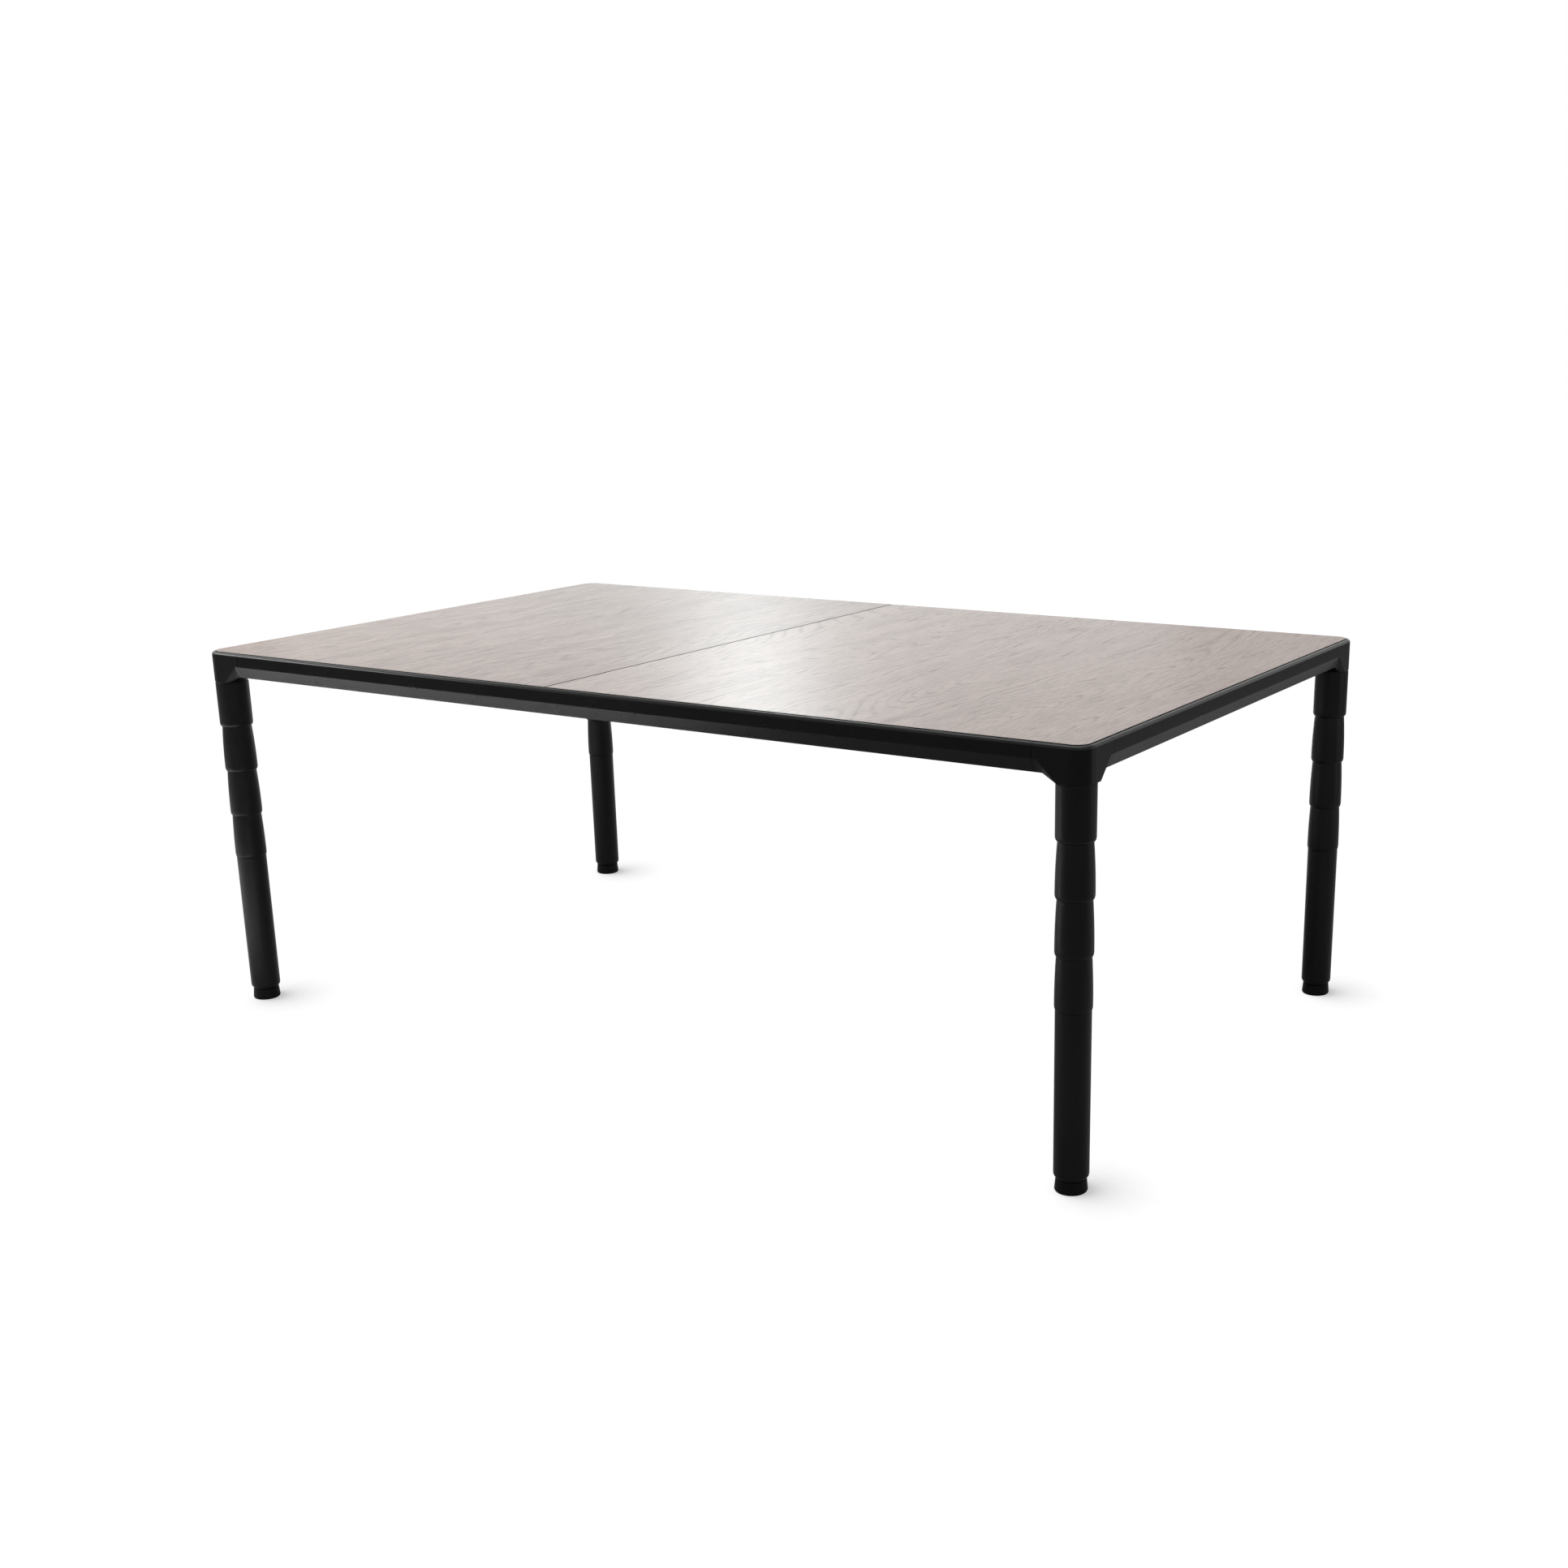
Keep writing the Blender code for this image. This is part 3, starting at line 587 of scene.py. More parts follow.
# Each board has its figure's shift, its painted shade, its rings' weight, and the turn that puts its seam
# inside. The painted shade darkens the whole left board against the extra light that the lamps at its end
# throw on it.
BOARDS = {"left": ((3.1, 0.4, 0), 0.24, 0.42, 0), "right": ((0.35, 2.2, 0), 0.0, 0.60, math.pi)}
for board, (shift, painted_shade, rings, seam_turn) in BOARDS.items():
    node = f"top_panel_{board}"
    low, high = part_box(node)
    length = high.x - low.x
    levels = [(LOWER_EDGE, low.z), (0, low.z + LOWER_EDGE)]
    for turn in quarter_turn(ARC_STEPS):
        levels.append((PANEL_EDGE * (1 - math.cos(turn)), high.z - PANEL_EDGE * (1 - math.sin(turn))))
    shape = stacked([panel_outline(length, high.y, inset, z) for inset, z in levels])
    shape.faces.ensure_lookup_table()
    for face in shape.faces:
        # At the seam the eased top edges take the black band too: painted shade of the gap, over the band's
        # real black on the sides.
        in_seam_shade = min(vertex.co.x for vertex in face.verts) > length / 2 - SEAM_EASED
        eased = face.calc_center_median().z > high.z - PANEL_EDGE
        face.material_index = RIDGE_FACE if eased and not in_seam_shade else BAND_FACE
    shape.faces[-2].material_index = BACK_FACE
    shape.faces[-1].material_index = TOP_FACE
    place = Matrix.Translation(((low.x + high.x) / 2, 0, 0)) @ Matrix.Rotation(seam_turn, 4, "Z")
    skins = [laminate(f"laminate_{board}", shift, painted_shade, rings), sheet_edge, edge_band, backing_sheet]
    finished(f"panel_{board}", shape, skins, node, place=place)


# Cross beam and its brackets
# A welded steel tube under the seam carries the inner edges of both boards. A plate at each end screws to the
# inside of the frame. Both are powder coated black.
TUBE_ROUND = 2.5 * MM
PLATE_ROUND = 2 * MM
BRACKET_PLATE = 3 * MM


def rounded_rectangle(half, low, high, radius):
    """The outline of a rectangle from low to high, so wide to both sides of 0, with round corners."""
    return filleted([(-half, low, radius), (half, low, radius), (half, high, radius), (-half, high, radius)])


low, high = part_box("cross_beam")
SEAM_X = (low.x + high.x) / 2
TIE_BOTTOM = low.z
tube_section = rounded_rectangle((high.x - low.x) / 2, low.z, high.z, TUBE_ROUND)
across = Matrix.Translation((SEAM_X, 0, 0)) @ Matrix.Rotation(math.pi / 2, 4, "Z")
shape = cut_to_length(tube_section, low.y, high.y)
finished("tie_beam", shape, [powder_coat], "cross_beam", place=across)
plate_low, plate_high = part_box("cross_beam_bracket_back")
PLATE_HALF = (plate_high.x - plate_low.x) / 2
plate_section = rounded_rectangle(PLATE_HALF, plate_low.z, plate_high.z, PLATE_ROUND)
for end, turn in (("back", math.pi / 2), ("front", -math.pi / 2)):
    shape = cut_to_length(plate_section, plate_high.y - BRACKET_PLATE, plate_high.y)
    place = Matrix.Translation((SEAM_X, 0, 0)) @ Matrix.Rotation(turn, 4, "Z")
    node = f"cross_beam_bracket_{end}"
    finished(f"bracket_{end}", shape, [powder_coat], node, place=place)


# Panel clips
# Six bent steel angles hold the boards to the beams, with a slot for a screw in each of their two legs. They
# are zinc plated.
CLIP_PLATE = 2.5 * MM
CLIP_LEG = 20 * MM
CLIP_HALF = 20 * MM
CLIP_REACH = BEAM_WIDTH + PLAY
BEND_INSIDE = 1.5 * MM
SLOT_HALF = 6 * MM
SLOT_ROUND = 2.4 * MM
SLOT_FILLET = 0.99 * SLOT_ROUND
SLOT_MIDDLE = 11.5 * MM
ZINC_TONES = ((0.50, 0.52, 0.55), (0.62, 0.62, 0.60))
ZINC_ROUGHNESS = (0.26, 0.50)
ZINC_PEEL = 1500
ZINC_CLOUDS = 60
ZINC_DEPTH = 0.01 * MM
ZINC_RELIEF = 0.4


def zinc_plated(name):
    """Bright zinc over steel: a faint cloudy tint, and a gloss broken by fine drawing marks."""
    material, tree, shader = new_material(name)
    grain = add_node(tree, "ShaderNodeGroup", {"Peel": ZINC_PEEL, "Cloud": ZINC_CLOUDS}, node_tree=COAT_GRAIN)
    tree.links.new(shades(tree, grain.outputs["Gloss"], *ZINC_TONES), shader.inputs["Base Color"])
    tree.links.new(spread(tree, grain.outputs["Shade"], *ZINC_ROUGHNESS), shader.inputs["Roughness"])
    tree.links.new(relief(tree, grain.outputs["Height"], ZINC_DEPTH, ZINC_RELIEF), shader.inputs["Normal"])
    shader.inputs["Metallic"].default_value = 1
    return material


def slot_cutter(start, end, turn, shift):
    """A round-ended bar that cuts a slot along X: upright, or level when it is turned."""
    outline = rounded_rectangle(SLOT_HALF, -SLOT_ROUND, SLOT_ROUND, SLOT_FILLET)
    bm = stacked([[(point.x, point.y, z) for point in outline] for z in (start, end)])
    bmesh.ops.transform(bm, matrix=Matrix.Translation(shift) @ Matrix.Rotation(turn, 4, "X"), verts=bm.verts)
    return bm


zinc = zinc_plated("zinc_plating")
clip_section = filleted([
    (CLIP_REACH, PANEL_SEAT - CLIP_LEG, FINE_ROUND),
    (CLIP_REACH + CLIP_PLATE, PANEL_SEAT - CLIP_LEG, FINE_ROUND),
    (CLIP_REACH + CLIP_PLATE, PANEL_SEAT - CLIP_PLATE, BEND_INSIDE),
    (CLIP_REACH + CLIP_LEG, PANEL_SEAT - CLIP_PLATE, FINE_ROUND),
    (CLIP_REACH + CLIP_LEG, PANEL_SEAT, FINE_ROUND),
    (CLIP_REACH, PANEL_SEAT, BEND_INSIDE + CLIP_PLATE / 2),
])
CLIPS = {
    "front_left": "front",
    "front_right": "front",
    "back_left": "back",
    "back_right": "back",
    "left": "left",
    "right": "right",
}
clip_places = {}
for clip, side in CLIPS.items():
    node = f"panel_clip_{clip}"
    low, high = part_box(node)
    middle = SIDES[side].inverted() @ ((low + high) / 2)
    clip_places[clip] = SIDES[side] @ Matrix.Translation((middle.x, 0, 0))
    deep = 2 * CLIP_PLATE
    shape = machined(cut_to_length(clip_section, -CLIP_HALF, CLIP_HALF), [
        ("DIFFERENCE", slot_cutter(-deep, deep, 0, (0, CLIP_REACH + SLOT_MIDDLE, PANEL_SEAT))),
        ("DIFFERENCE", slot_cutter(-deep, deep, math.pi / 2, (0, CLIP_REACH, PANEL_SEAT - SLOT_MIDDLE))),
    ])
    finished(f"clip_{clip}", shape, [zinc], node, place=clip_places[clip])


# Screws
# Pan-head screws with a hexagon socket fix the clips to the beams and boards, the bracket plates to the
# frame, and the cross beam to both boards. They are zinc plated, and all stand on the same pattern of points.
HEAD_RADIUS = 4.6 * MM
HEAD_HEIGHT = 2.6 * MM
HEAD_DOME = 0.7 * HEAD_HEIGHT
HEAD_SEGMENTS = 24
DOME_STEPS = 5
SOCKET_HALF = 1.7 * MM
SOCKET_FLOOR = HEAD_HEIGHT - 1.5 * MM
SOCKET_SIDES = 6
PLATE_EAR = 5.5 * MM
TIE_SCREWS = 5
TIE_SCREW_SPAN = 960 * MM
TIE_SCREW_ASIDE = 12 * MM


def screw_head():
    """One screw head that stands on Z 0, as a pattern that isn't shown itself."""
    profile = filleted([
        (0, 0, 0),
        (HEAD_RADIUS, 0, FINE_ROUND / 2),
        (HEAD_RADIUS, HEAD_HEIGHT, HEAD_DOME),
        (0, HEAD_HEIGHT, 0),
    ], steps=DOME_STEPS)
    head = turned([(point.x, point.y) for point in profile], HEAD_SEGMENTS)
    above = 2 * HEAD_HEIGHT
    hexagon = [(0, above), (SOCKET_HALF, above), (SOCKET_HALF, SOCKET_FLOOR), (0, SOCKET_FLOOR)]
    shape = machined(head, [("DIFFERENCE", turned(hexagon, SOCKET_SIDES))])
    return bpy.data.objects.new("screw_head", smooth_mesh("screw_head", shape))


def real_and_dressed(tree, geometry, material):
    """The end of a geometry tree: its instances made real, and its material set."""
    real = add_node(tree, "GeometryNodeRealizeInstances", {"Geometry": geometry}).outputs["Geometry"]
    dressed = add_node(tree, "GeometryNodeSetMaterial", {"Geometry": real, "Material": material})
    return dressed.outputs["Geometry"]


def screw_tree(material):
    """Sets a head on every point, facing along the point's own direction."""
    tree = bpy.data.node_groups.new("set_screws", "GeometryNodeTree")
    tree.interface.new_socket("Points", in_out="INPUT", socket_type="NodeSocketGeometry")
    tree.interface.new_socket("Head", in_out="INPUT", socket_type="NodeSocketObject")
    tree.interface.new_socket("Head Size", in_out="INPUT", socket_type="NodeSocketFloat")
    tree.interface.new_socket("Screws", in_out="OUTPUT", socket_type="NodeSocketGeometry")
    given = tree.nodes.new("NodeGroupInput")
    result = tree.nodes.new("NodeGroupOutput")
    head = add_node(tree, "GeometryNodeObjectInfo", {"Object": given.outputs["Head"]})
    facing = add_node(tree, "GeometryNodeInputNamedAttribute", {"Name": "facing"}, data_type="FLOAT_VECTOR")
    direction = facing.outputs["Attribute"]
    turn = add_node(tree, "FunctionNodeAlignRotationToVector", {"Vector": direction}, axis="Z")
    heads = add_node(tree, "GeometryNodeInstanceOnPoints", {
        "Points": given.outputs["Points"],
        "Instance": head.outputs["Geometry"],
        "Rotation": turn.outputs["Rotation"],
        "Scale": given.outputs["Head Size"],
    })
    tree.links.new(real_and_dressed(tree, heads.outputs["Instances"], material), result.inputs["Screws"])
    return tree


def socket_key(tree, label):
    """The identifier of one of a tree's named inputs."""
    inputs = [item for item in tree.interface.items_tree if item.in_out == "INPUT"]
    return next(item.identifier for item in inputs if item.name == label)


def grown(name, seed_mesh, tree, sizes):
    """A piece with a plain mesh, grown from a seed mesh by a tree whose named inputs are set first."""
    seed = bpy.data.objects.new(name, seed_mesh)
    bpy.context.scene.collection.objects.link(seed)
    growth = seed.modifiers.new("growth", "NODES")
    growth.node_group = tree
    for label, value in sizes.items():
        growth[socket_key(tree, label)] = value
    graph = bpy.context.evaluated_depsgraph_get()
    plain = bpy.data.meshes.new_from_object(seed.evaluated_get(graph))
    seed.modifiers.clear()
    seed.data = plain
    return seed


screw_points = []
for place in clip_places.values():
    upright = Vector((0, CLIP_REACH + CLIP_PLATE, PANEL_SEAT - SLOT_MIDDLE))
    level = Vector((0, CLIP_REACH + SLOT_MIDDLE, PANEL_SEAT - CLIP_PLATE))
    screw_points.append((place @ upright, place.to_3x3() @ Vector((0, 1, 0))))
    screw_points.append((place @ level, Vector((0, 0, -1))))
for end in (-1, 1):
    for ear in (-1, 1):
        x = SEAM_X + ear * (PLATE_HALF - PLATE_EAR)
        y = end * (plate_high.y - BRACKET_PLATE)
        screw_points.append((Vector((x, y, (plate_low.z + plate_high.z) / 2)), Vector((0, -end, 0))))
for i in range(TIE_SCREWS):
    y = TIE_SCREW_SPAN * (i / (TIE_SCREWS - 1) - 0.5)
    for aside in (-TIE_SCREW_ASIDE, TIE_SCREW_ASIDE):
        screw_points.append((Vector((SEAM_X + aside, y, TIE_BOTTOM)), Vector((0, 0, -1))))
pattern = bpy.data.meshes.new("screw_points")
pattern.from_pydata([point for point, _ in screw_points], [], [])
facing = pattern.attributes.new("facing", "FLOAT_VECTOR", "POINT")
for i, (_, direction) in enumerate(screw_points):
    facing.data[i].vector = direction
head = screw_head()
screws = grown("screws", pattern, screw_tree(zinc), {"Head": head, "Head Size": 1.0})
bpy.data.objects.remove(head, do_unlink=True)
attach(screws, "table")


# Leg sleeves
# Each leg's upper part is four ringed sleeves on a core tube. The first is straight, and the others swell
# from a neck to a lip that is rounded in underneath. They are coated satin black.
NECK_RADIUS = 29 * MM
SLEEVE_BORE = SOCKET_RADIUS
LIP_HEIGHT = 8 * MM
NECK_EDGE = 0.6 * MM
GROOVE_HEIGHT = 1.7 * MM
GROOVE_DEPTH = 1.6 * MM
TUBE_RADIUS = (LEG_HIGH.x - LEG_LOW.x) / 2
FLARE_STEPS = 18
LIP_STEPS = 10
SLEEVES = 4
LEG_BLACKS = ((0.002, 0.002, 0.002), (0.008, 0.008, 0.008))


def sleeve_profile(index, lip, top, bottom):
    """The (radius, Z) outline of a sleeve, counted from the leg's top. The first has a groove at its top."""
    first = index == 1
    below = TUBE_RADIUS if index == SLEEVES else NECK_RADIUS
    start = lip if first else NECK_RADIUS
    lip_top = bottom + LIP_HEIGHT
    outline = [(SLEEVE_BORE, top)]
    if first:
        outline += [(lip - GROOVE_DEPTH, top), (lip - GROOVE_DEPTH, top - GROOVE_HEIGHT)]
        top -= GROOVE_HEIGHT
    for turn in quarter_turn(ARC_STEPS):
        outline.append((start - NECK_EDGE * (1 - math.sin(turn)), top - NECK_EDGE * (1 - math.cos(turn))))
    for i in range(1, FLARE_STEPS):
        share = i / FLARE_STEPS
        flare = 1 - (1 - share) ** 2
        outline.append((start + (lip - start) * flare, top - NECK_EDGE + (lip_top - top + NECK_EDGE) * share))
    for turn in quarter_turn(LIP_STEPS):
        outline.append((below + (lip - below) * math.cos(turn), lip_top - LIP_HEIGHT * math.sin(turn)))
    return outline + [(SLEEVE_BORE, bottom)]


leg_coat = coated("leg_coat", LEG_BLACKS, (0.30, 0.38), peel=800, depth=0.01 * MM, specular=0.17)
leg_places = {c: Matrix.Translation((x * LEG_X, y * LEG_Y, 0)) for c, (x, y) in CORNERS.items()}
for corner, place in leg_places.items():
    for index in range(1, SLEEVES + 1):
        node = f"leg_sleeve_{index}_{corner}"
        low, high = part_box(node)
        shape = turned(sleeve_profile(index, (high.x - low.x) / 2, high.z, low.z))
        finished(f"sleeve_{index}_{corner}", shape, [leg_coat], node, place=place)


# Leg tubes
# The lower part of each leg is one long plain tube over the same core, rounded in at its lower end. It is
# coated like the sleeves.
TUBE_END_RADIUS = 26.3 * MM
TUBE_END_HEIGHT = 7 * MM
for corner, place in leg_places.items():
    node = f"leg_tube_{corner}"
    low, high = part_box(node)
    outline = [(SLEEVE_BORE, high.z), (TUBE_RADIUS - NECK_EDGE, high.z), (TUBE_RADIUS, high.z - NECK_EDGE)]
    for turn in quarter_turn(LIP_STEPS):
        radius = TUBE_END_RADIUS + (TUBE_RADIUS - TUBE_END_RADIUS) * math.cos(turn)
        outline.append((radius, low.z + TUBE_END_HEIGHT * (1 - math.sin(turn))))
    outline.append((SLEEVE_BORE, low.z))
    finished(f"tube_{corner}", turned(outline), [leg_coat], node, place=place)


# Leg cores and bolts
# A steel tube runs through each leg, and one bolt pulls it up into the casting. They are zinc plated and
# hidden, so their plain solids stay and only take the finish.
for corner in CORNERS:
    for hidden in (f"leg_core_{corner}", f"leg_bolt_{corner}"):
        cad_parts[hidden].material_slots[0].material = zinc


# Foot inserts
# A plug of black moulded plastic closes the lower end of each leg. Its flange carries the leg's tube, and the
# foot's stem screws into it.
INSERT_PLUG = 21.7 * MM
INSERT_FLANGE = 3 * MM
STEM_HOLE = 5.3 * MM
PLASTIC_BLACKS = ((0.002, 0.002, 0.002), (0.009, 0.009, 0.009))
moulded = coated("moulded_plastic", PLASTIC_BLACKS, (0.42, 0.56), peel=1300, depth=0.03 * MM, specular=0.10)
for corner, place in leg_places.items():
    node = f"foot_insert_{corner}"
    low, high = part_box(node)
    flange_radius = (high.x - low.x) / 2
    flange_top = low.z + INSERT_FLANGE
    outline = filleted([
        (STEM_HOLE, high.z, 0),
        (INSERT_PLUG, high.z, EDGE_ROUND),
        (INSERT_PLUG, flange_top, 0),
        (flange_radius, flange_top, 0),
        (flange_radius, low.z, FINE_ROUND),
        (STEM_HOLE, low.z, FINE_ROUND),
    ])
    shape = turned([(point.x, point.y) for point in outline])
    finished(f"insert_{corner}", shape, [moulded], node, place=place)


# Foot stems
# A steel stem with a fine thread screws into each insert, and a collar at its lower end keeps it in the pad.
# It is zinc plated. Turning it raises or lowers that corner of the table.
STEM_CORE = 4.6 * MM
COLLAR_RADIUS = 8 * MM
COLLAR_HEIGHT = 6 * MM
THREAD_PITCH = 1.5 * MM
THREAD_RIDGE = 0.55 * MM
THREAD_RADIUS = 4.6 * MM
THREAD_START = 2 * THREAD_PITCH
THREAD_SPARE = 3 * THREAD_PITCH
TURN_STEPS = 24
RIDGE_SIDES = 6
STEM_SEGMENTS = 48


def thread_tree(material):
    """Adds a helical ridge to a turned stem."""
    tree = bpy.data.node_groups.new("cut_thread", "GeometryNodeTree")
    tree.interface.new_socket("Stem", in_out="INPUT", socket_type="NodeSocketGeometry")
    for label in ("Radius", "Turns", "Length", "Ridge", "Bottom"):
        tree.interface.new_socket(label, in_out="INPUT", socket_type="NodeSocketFloat")
    tree.interface.new_socket("Threaded", in_out="OUTPUT", socket_type="NodeSocketGeometry")
    given = tree.nodes.new("NodeGroupInput")
    result = tree.nodes.new("NodeGroupOutput")
    helix = add_node(tree, "GeometryNodeCurveSpiral", {
        "Resolution": TURN_STEPS,
        "Rotations": given.outputs["Turns"],
        "Start Radius": given.outputs["Radius"],
        "End Radius": given.outputs["Radius"],
        "Height": given.outputs["Length"],
    })
    ridge = add_node(tree, "GeometryNodeCurvePrimitiveCircle", {
        "Resolution": RIDGE_SIDES, "Radius": given.outputs["Ridge"]
    })
    swept = add_node(tree, "GeometryNodeCurveToMesh", {
        "Curve": helix.outputs["Curve"], "Profile Curve": ridge.outputs["Curve"], "Fill Caps": True
    })
    raised = add_node(tree, "ShaderNodeCombineXYZ", {"Z": given.outputs["Bottom"]})
    lifted = add_node(tree, "GeometryNodeTransform", {
        "Geometry": swept.outputs["Mesh"], "Translation": raised.outputs["Vector"]
    })
    joined = add_node(tree, "GeometryNodeJoinGeometry")
    tree.links.new(given.outputs["Stem"], joined.inputs["Geometry"])
    tree.links.new(lifted.outputs["Geometry"], joined.inputs["Geometry"])
    tree.links.new(real_and_dressed(tree, joined.outputs["Geometry"], material), result.inputs["Threaded"])
    return tree


thread = thread_tree(zinc)
for corner, place in leg_places.items():
    node = f"foot_stem_{corner}"
    low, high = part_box(node)
    collar_top = low.z + COLLAR_HEIGHT
    outline = filleted([
        (0, high.z, 0),
        (STEM_CORE, high.z, EDGE_ROUND),
        (STEM_CORE, collar_top, FINE_ROUND),
        (COLLAR_RADIUS, collar_top, FINE_ROUND),
        (COLLAR_RADIUS, low.z, FINE_ROUND),
        (0, low.z, 0),
    ])
    shape = turned([(point.x, point.y) for point in outline], STEM_SEGMENTS)
    close_up(shape)
    length = high.z - collar_top - THREAD_SPARE
    sizes = {
        "Radius": THREAD_RADIUS,
        "Turns": length / THREAD_PITCH,
        "Length": length,
        "Ridge": THREAD_RIDGE,
        "Bottom": collar_top + THREAD_START,
    }
    stem = grown(f"stem_{corner}", smooth_mesh("stem_bar", shape), thread, sizes)
    stem.data.transform(place)
    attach(stem, f"stem_{corner}")
    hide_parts(node)


# Foot pads
# A pad of black moulded plastic swivels on each stem's collar. It widens to a soft edge at the floor, and has
# a shallow ring underneath.
FOOT_FLOOR = 4 * MM
FOOT_EDGE = 2 * MM
POCKET_RADIUS = COLLAR_RADIUS + PLAY
POCKET_TOP = FOOT_FLOOR + COLLAR_HEIGHT + 0.6 * MM
RING_INNER = 14 * MM
RING_OUTER = 20 * MM
RING_DEPTH = 0.8 * MM
PAD_TOP_RADIUS = flange_radius
for corner, place in leg_places.items():
    node = f"foot_pad_{corner}"
    low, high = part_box(node)
    base = (high.x - low.x) / 2
    outline = filleted([
        (STEM_HOLE, high.z, FINE_ROUND),
        (PAD_TOP_RADIUS, high.z, EDGE_ROUND),
        (base, FOOT_EDGE, FOOT_EDGE * 2),
        (base - FOOT_EDGE, 0, FINE_ROUND),
        (RING_OUTER, 0, FINE_ROUND / 2),
        (RING_OUTER, RING_DEPTH, 0),
        (RING_INNER, RING_DEPTH, 0),
        (RING_INNER, 0, FINE_ROUND / 2),
        (0, 0, 0),
        (0, FOOT_FLOOR, 0),
        (POCKET_RADIUS, FOOT_FLOOR, 0),
        (POCKET_RADIUS, POCKET_TOP, 0),
        (STEM_HOLE, POCKET_TOP, 0),
    ])
    shape = turned([(point.x, point.y) for point in outline])
    finished(f"pad_{corner}", shape, [moulded], node, body=f"foot_{corner}", place=place)


# Floor
# A plain white floor without an edge in view. It has a painted shadow close to each foot, drawn from how near
# the foot stands, and leaning to the right as under light from the left. Seen from below it is clear.
FLOOR_HALF = 30.0
SHADOW_REACH = 0.14
SHADOW_LEAN = (-0.55, -0.35, 0.76)
SHADOW_SAMPLES = 16
SHADOW_CLOSE = 0.50
SHADOW_OPEN = 0.96
SHADOW_DARK = 0.55
FLOOR_WHITE = 1.02
FLOOR_MIRRORED = 0.06
FLOOR_COLOR = (0.85, 0.85, 0.85, 1)


def background_share(tree, direct, mirrored):
    """How much of the plain white a ray sees: straight from the camera, in a mirror image, or not at all."""
    path = add_node(tree, "ShaderNodeLightPath")
    image = calculated(tree, "MAXIMUM", path.outputs["Is Glossy Ray"], path.outputs["Is Transmission Ray"])
    image = calculated(tree, "MULTIPLY", image, mirrored)
    straight = calculated(tree, "MULTIPLY", path.outputs["Is Camera Ray"], direct)
    return calculated(tree, "MAXIMUM", straight, image)


def floor_material():
    """Matt white that the camera sees as the background, with a painted shadow only where a foot stands
    close.
    """
    material, tree, shader = new_material("white_floor")
    shader.inputs["Base Color"].default_value = FLOOR_COLOR
    shader.inputs["Roughness"].default_value = 1
    shader.inputs["Specular IOR Level"].default_value = 0
    lean = add_node(tree, "ShaderNodeCombineXYZ", dict(zip("XYZ", SHADOW_LEAN)))
    near = add_node(
        tree, "ShaderNodeAmbientOcclusion",
        {"Distance": SHADOW_REACH, "Normal": lean.outputs["Vector"]},
        samples=SHADOW_SAMPLES,
    )
    shadow = add_node(tree, "ShaderNodeMapRange", {
        "Value": near.outputs["AO"],
        "From Min": SHADOW_CLOSE,
        "From Max": SHADOW_OPEN,
        "To Min": SHADOW_DARK,
        "To Max": FLOOR_WHITE,
    })
    # The white seen straight on glows with the painted shadow in its strength.
    white = add_node(tree, "ShaderNodeEmission", {"Strength": shadow.outputs["Result"]})
    both = add_node(tree, "ShaderNodeMixShader", {
        0: background_share(tree, 1, FLOOR_MIRRORED), 1: shader.outputs["BSDF"], 2: white.outputs["Emission"]
    })
    side = add_node(tree, "ShaderNodeNewGeometry")
    clear = add_node(tree, "ShaderNodeBsdfTransparent")
    one_sided = add_node(tree, "ShaderNodeMixShader", {
        0: side.outputs["Backfacing"], 1: both.outputs["Shader"], 2: clear.outputs["BSDF"]
    })
    tree.links.new(one_sided.outputs["Shader"], tree.nodes["Material Output"].inputs["Surface"])
    return material


floor_mesh = bpy.data.meshes.new("floor")
floor_mesh.from_pydata(
    [(x * FLOOR_HALF, y * FLOOR_HALF, 0) for x, y in ((-1, -1), (1, -1), (1, 1), (-1, 1))], [], [(0, 1, 2, 3)]
)
floor_mesh.materials.append(floor_material())
floor = bpy.data.objects.new("floor", floor_mesh)
bpy.context.scene.collection.objects.link(floor)


# Studio light
# A large soft box hangs over the table, with weak ones at its left end and its right, two over the floor at
# its front left, and a low one that lights the frame and the legs from behind. Two more behind it are cool
# white, and their mirror image lies along the seam as a soft glare. The room itself adds a little even light.
ROOM_LIGHT = 0.10
COOL_WHITE = (0.90, 0.985, 1.0)
# Each has its place, the point that it faces, its size, its power and the angle that its light spreads over.
SOFT_BOXES = {
    "over_table": ((0.45, 0.0, 4.2), (0.45, 0.001, 0.0), (3.4, 2.4), 76, 180),
    "left_end": ((-1.75, -0.35, 1.5), (-1.0, -0.2, 0.75), (0.6, 1.2), 1.9, 120),
    "front_left": ((-2.3, -1.5, 1.6), (-2.0, -1.3, 0.0), (1.0, 0.8), 32, 180),
    "floor_left": ((-1.15, -1.15, 0.6), (-1.15, -1.149, 0.0), (1.6, 0.3), 7.0, 50),
    "right": ((3.1, 0.92, 0.6), (0.0, 0.0, 0.4), (0.8, 1.2), 2.2, 180),
    "back_low": ((-0.9, 2.7, 0.42), (-0.1, 0.6, 0.42), (0.5, 0.55), 4.0, 120),
    "behind_high": ((-3.0, 4.0, 2.84), (0.0, 0.0, 0.75), (0.4, 1.1), 18.6, 180),
    "behind_wide": ((-2.4, 3.1, 1.15), (0.0, 0.0, 0.75), (3.6, 0.6), 7.5, 180),
}


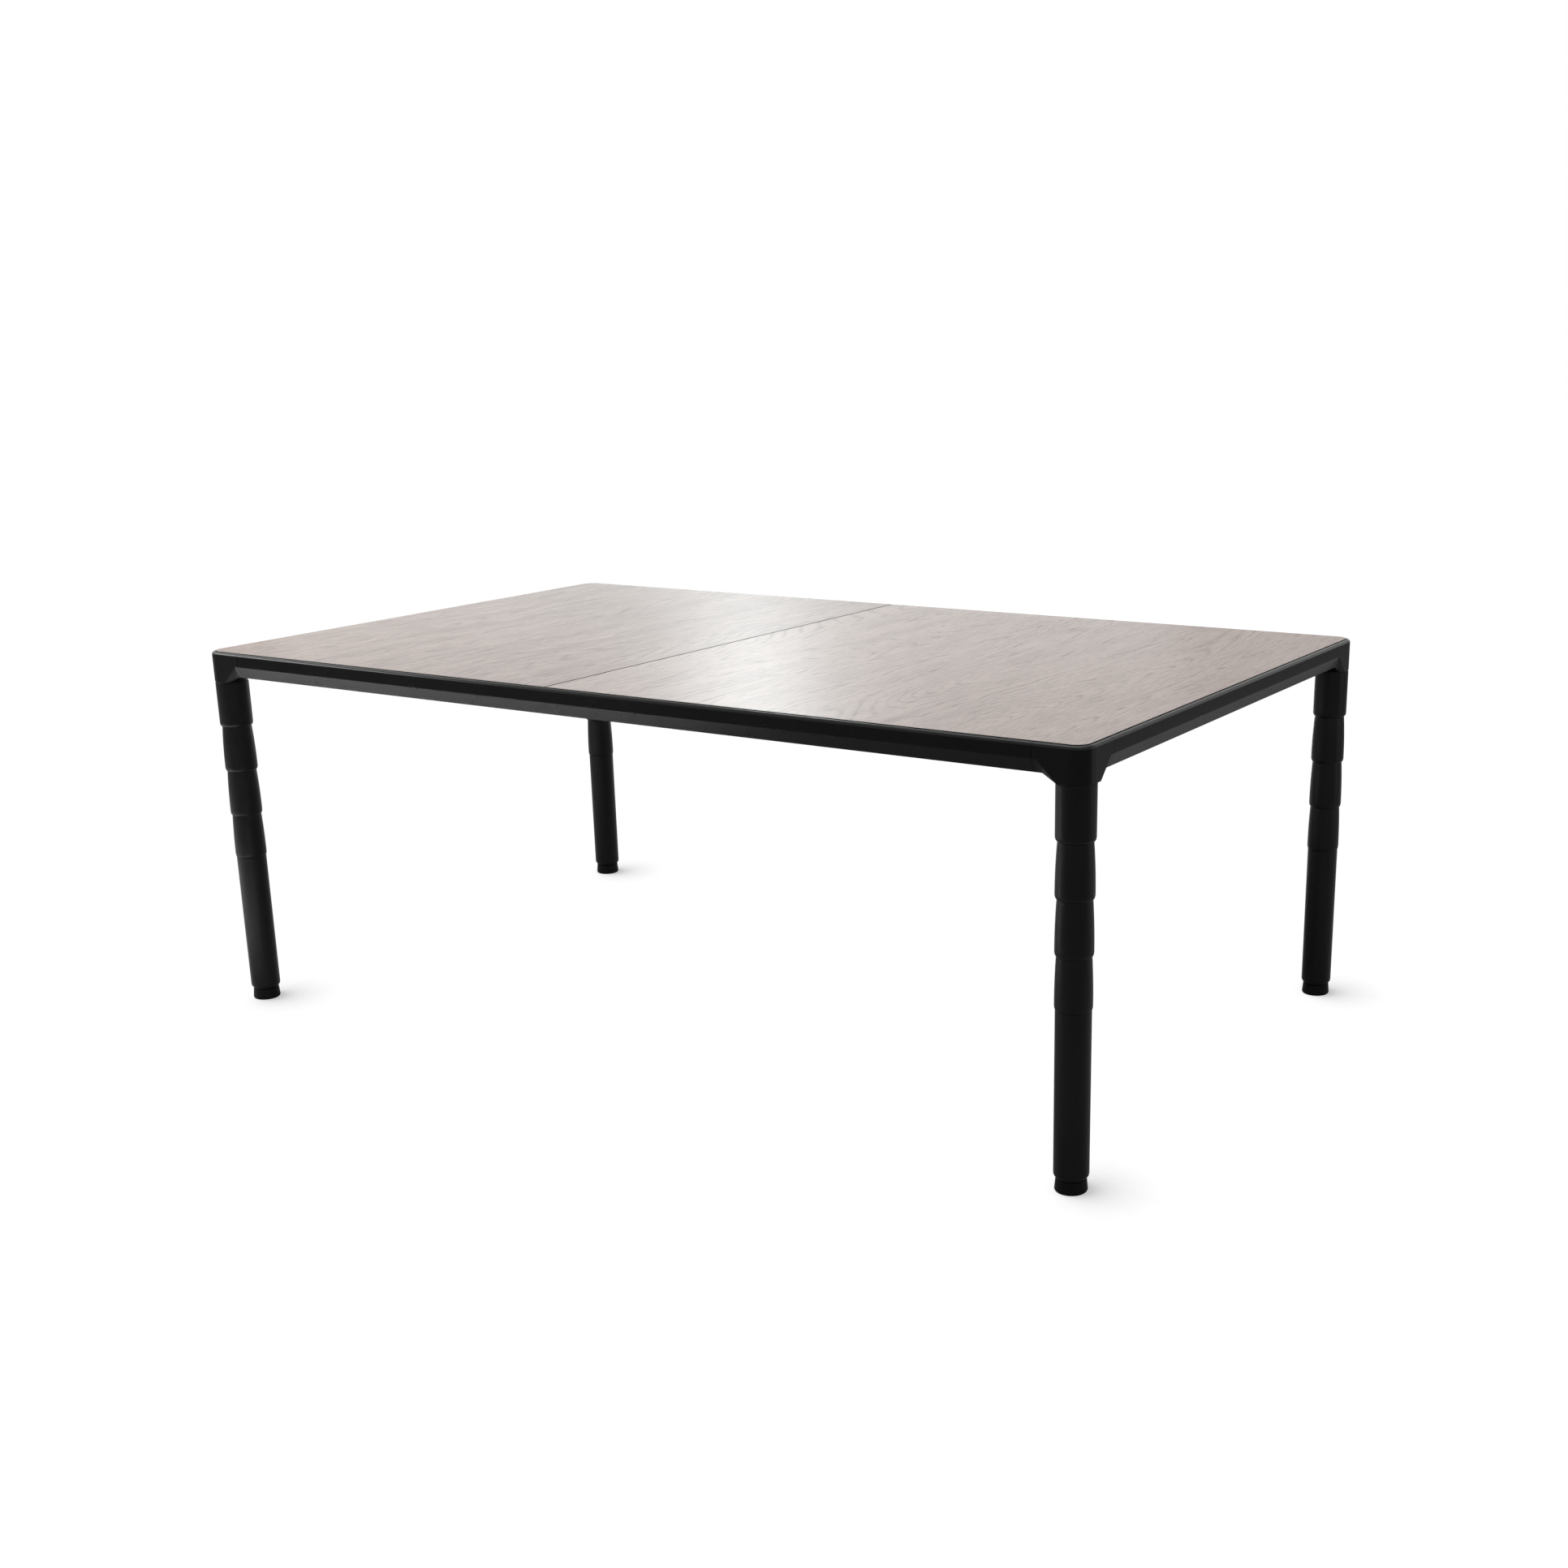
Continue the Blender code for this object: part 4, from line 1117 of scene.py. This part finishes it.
def room():
    """The world: white where the camera or a mirror image sees it, and a little even light elsewhere."""
    world = bpy.data.worlds.new("studio")
    world.use_nodes = True
    tree = world.node_tree
    light = tree.nodes["Background"]
    light.inputs["Strength"].default_value = ROOM_LIGHT
    light.inputs["Color"].default_value = (1, 1, 1, 1)
    white = add_node(tree, "ShaderNodeBackground", {"Color": (1, 1, 1, 1), "Strength": 1})
    both = add_node(tree, "ShaderNodeMixShader", {
        0: background_share(tree, 1, 1), 1: light.outputs["Background"], 2: white.outputs["Background"]
    })
    tree.links.new(both.outputs["Shader"], tree.nodes["World Output"].inputs["Surface"])
    return world


bpy.context.scene.world = room()
for name, (place, target, (width, height), power, spread_angle) in SOFT_BOXES.items():
    light = bpy.data.lights.new(name, "AREA")
    light.shape = "RECTANGLE"
    light.size = width
    light.size_y = height
    light.energy = power
    light.spread = math.radians(spread_angle)
    if name.startswith("behind"):
        light.color = COOL_WHITE
    lamp = bpy.data.objects.new(name, light)
    lamp.location = place
    lamp.rotation_euler = (Vector(target) - Vector(place)).to_track_quat("-Z", "Y").to_euler()
    lamp.visible_camera = False
    bpy.context.scene.collection.objects.link(lamp)


# Camera
# It stands where the photograph was taken, a little above the table and off its front right corner. Its lens
# is shifted as far as the photograph's framing needs.
IMAGE_SIZE = 1932
FOCAL_PIXELS = 2398.1
AXIS_PIXEL = (1085.1, 1118.2)
CAMERA_PLACE = (2.2858, -3.1994, 1.3700)
CAMERA_YAW = math.radians(32.56)
CAMERA_PITCH = math.radians(16.74)
CAMERA_ROLL = math.radians(-0.931)
camera_data = bpy.data.cameras.new("camera")
camera_data.sensor_width = 36
camera_data.lens = FOCAL_PIXELS * camera_data.sensor_width / IMAGE_SIZE
camera_data.shift_x = 0.5 - AXIS_PIXEL[0] / IMAGE_SIZE
camera_data.shift_y = AXIS_PIXEL[1] / IMAGE_SIZE - 0.5
camera = bpy.data.objects.new("camera", camera_data)
heading = Matrix.Rotation(CAMERA_YAW, 4, "Z") @ Matrix.Rotation(math.pi / 2 - CAMERA_PITCH, 4, "X")
camera.matrix_world = Matrix.Translation(CAMERA_PLACE) @ heading @ Matrix.Rotation(CAMERA_ROLL, 4, "Z")
bpy.context.scene.collection.objects.link(camera)
bpy.context.scene.camera = camera
bpy.context.scene.view_settings.view_transform = "Standard"
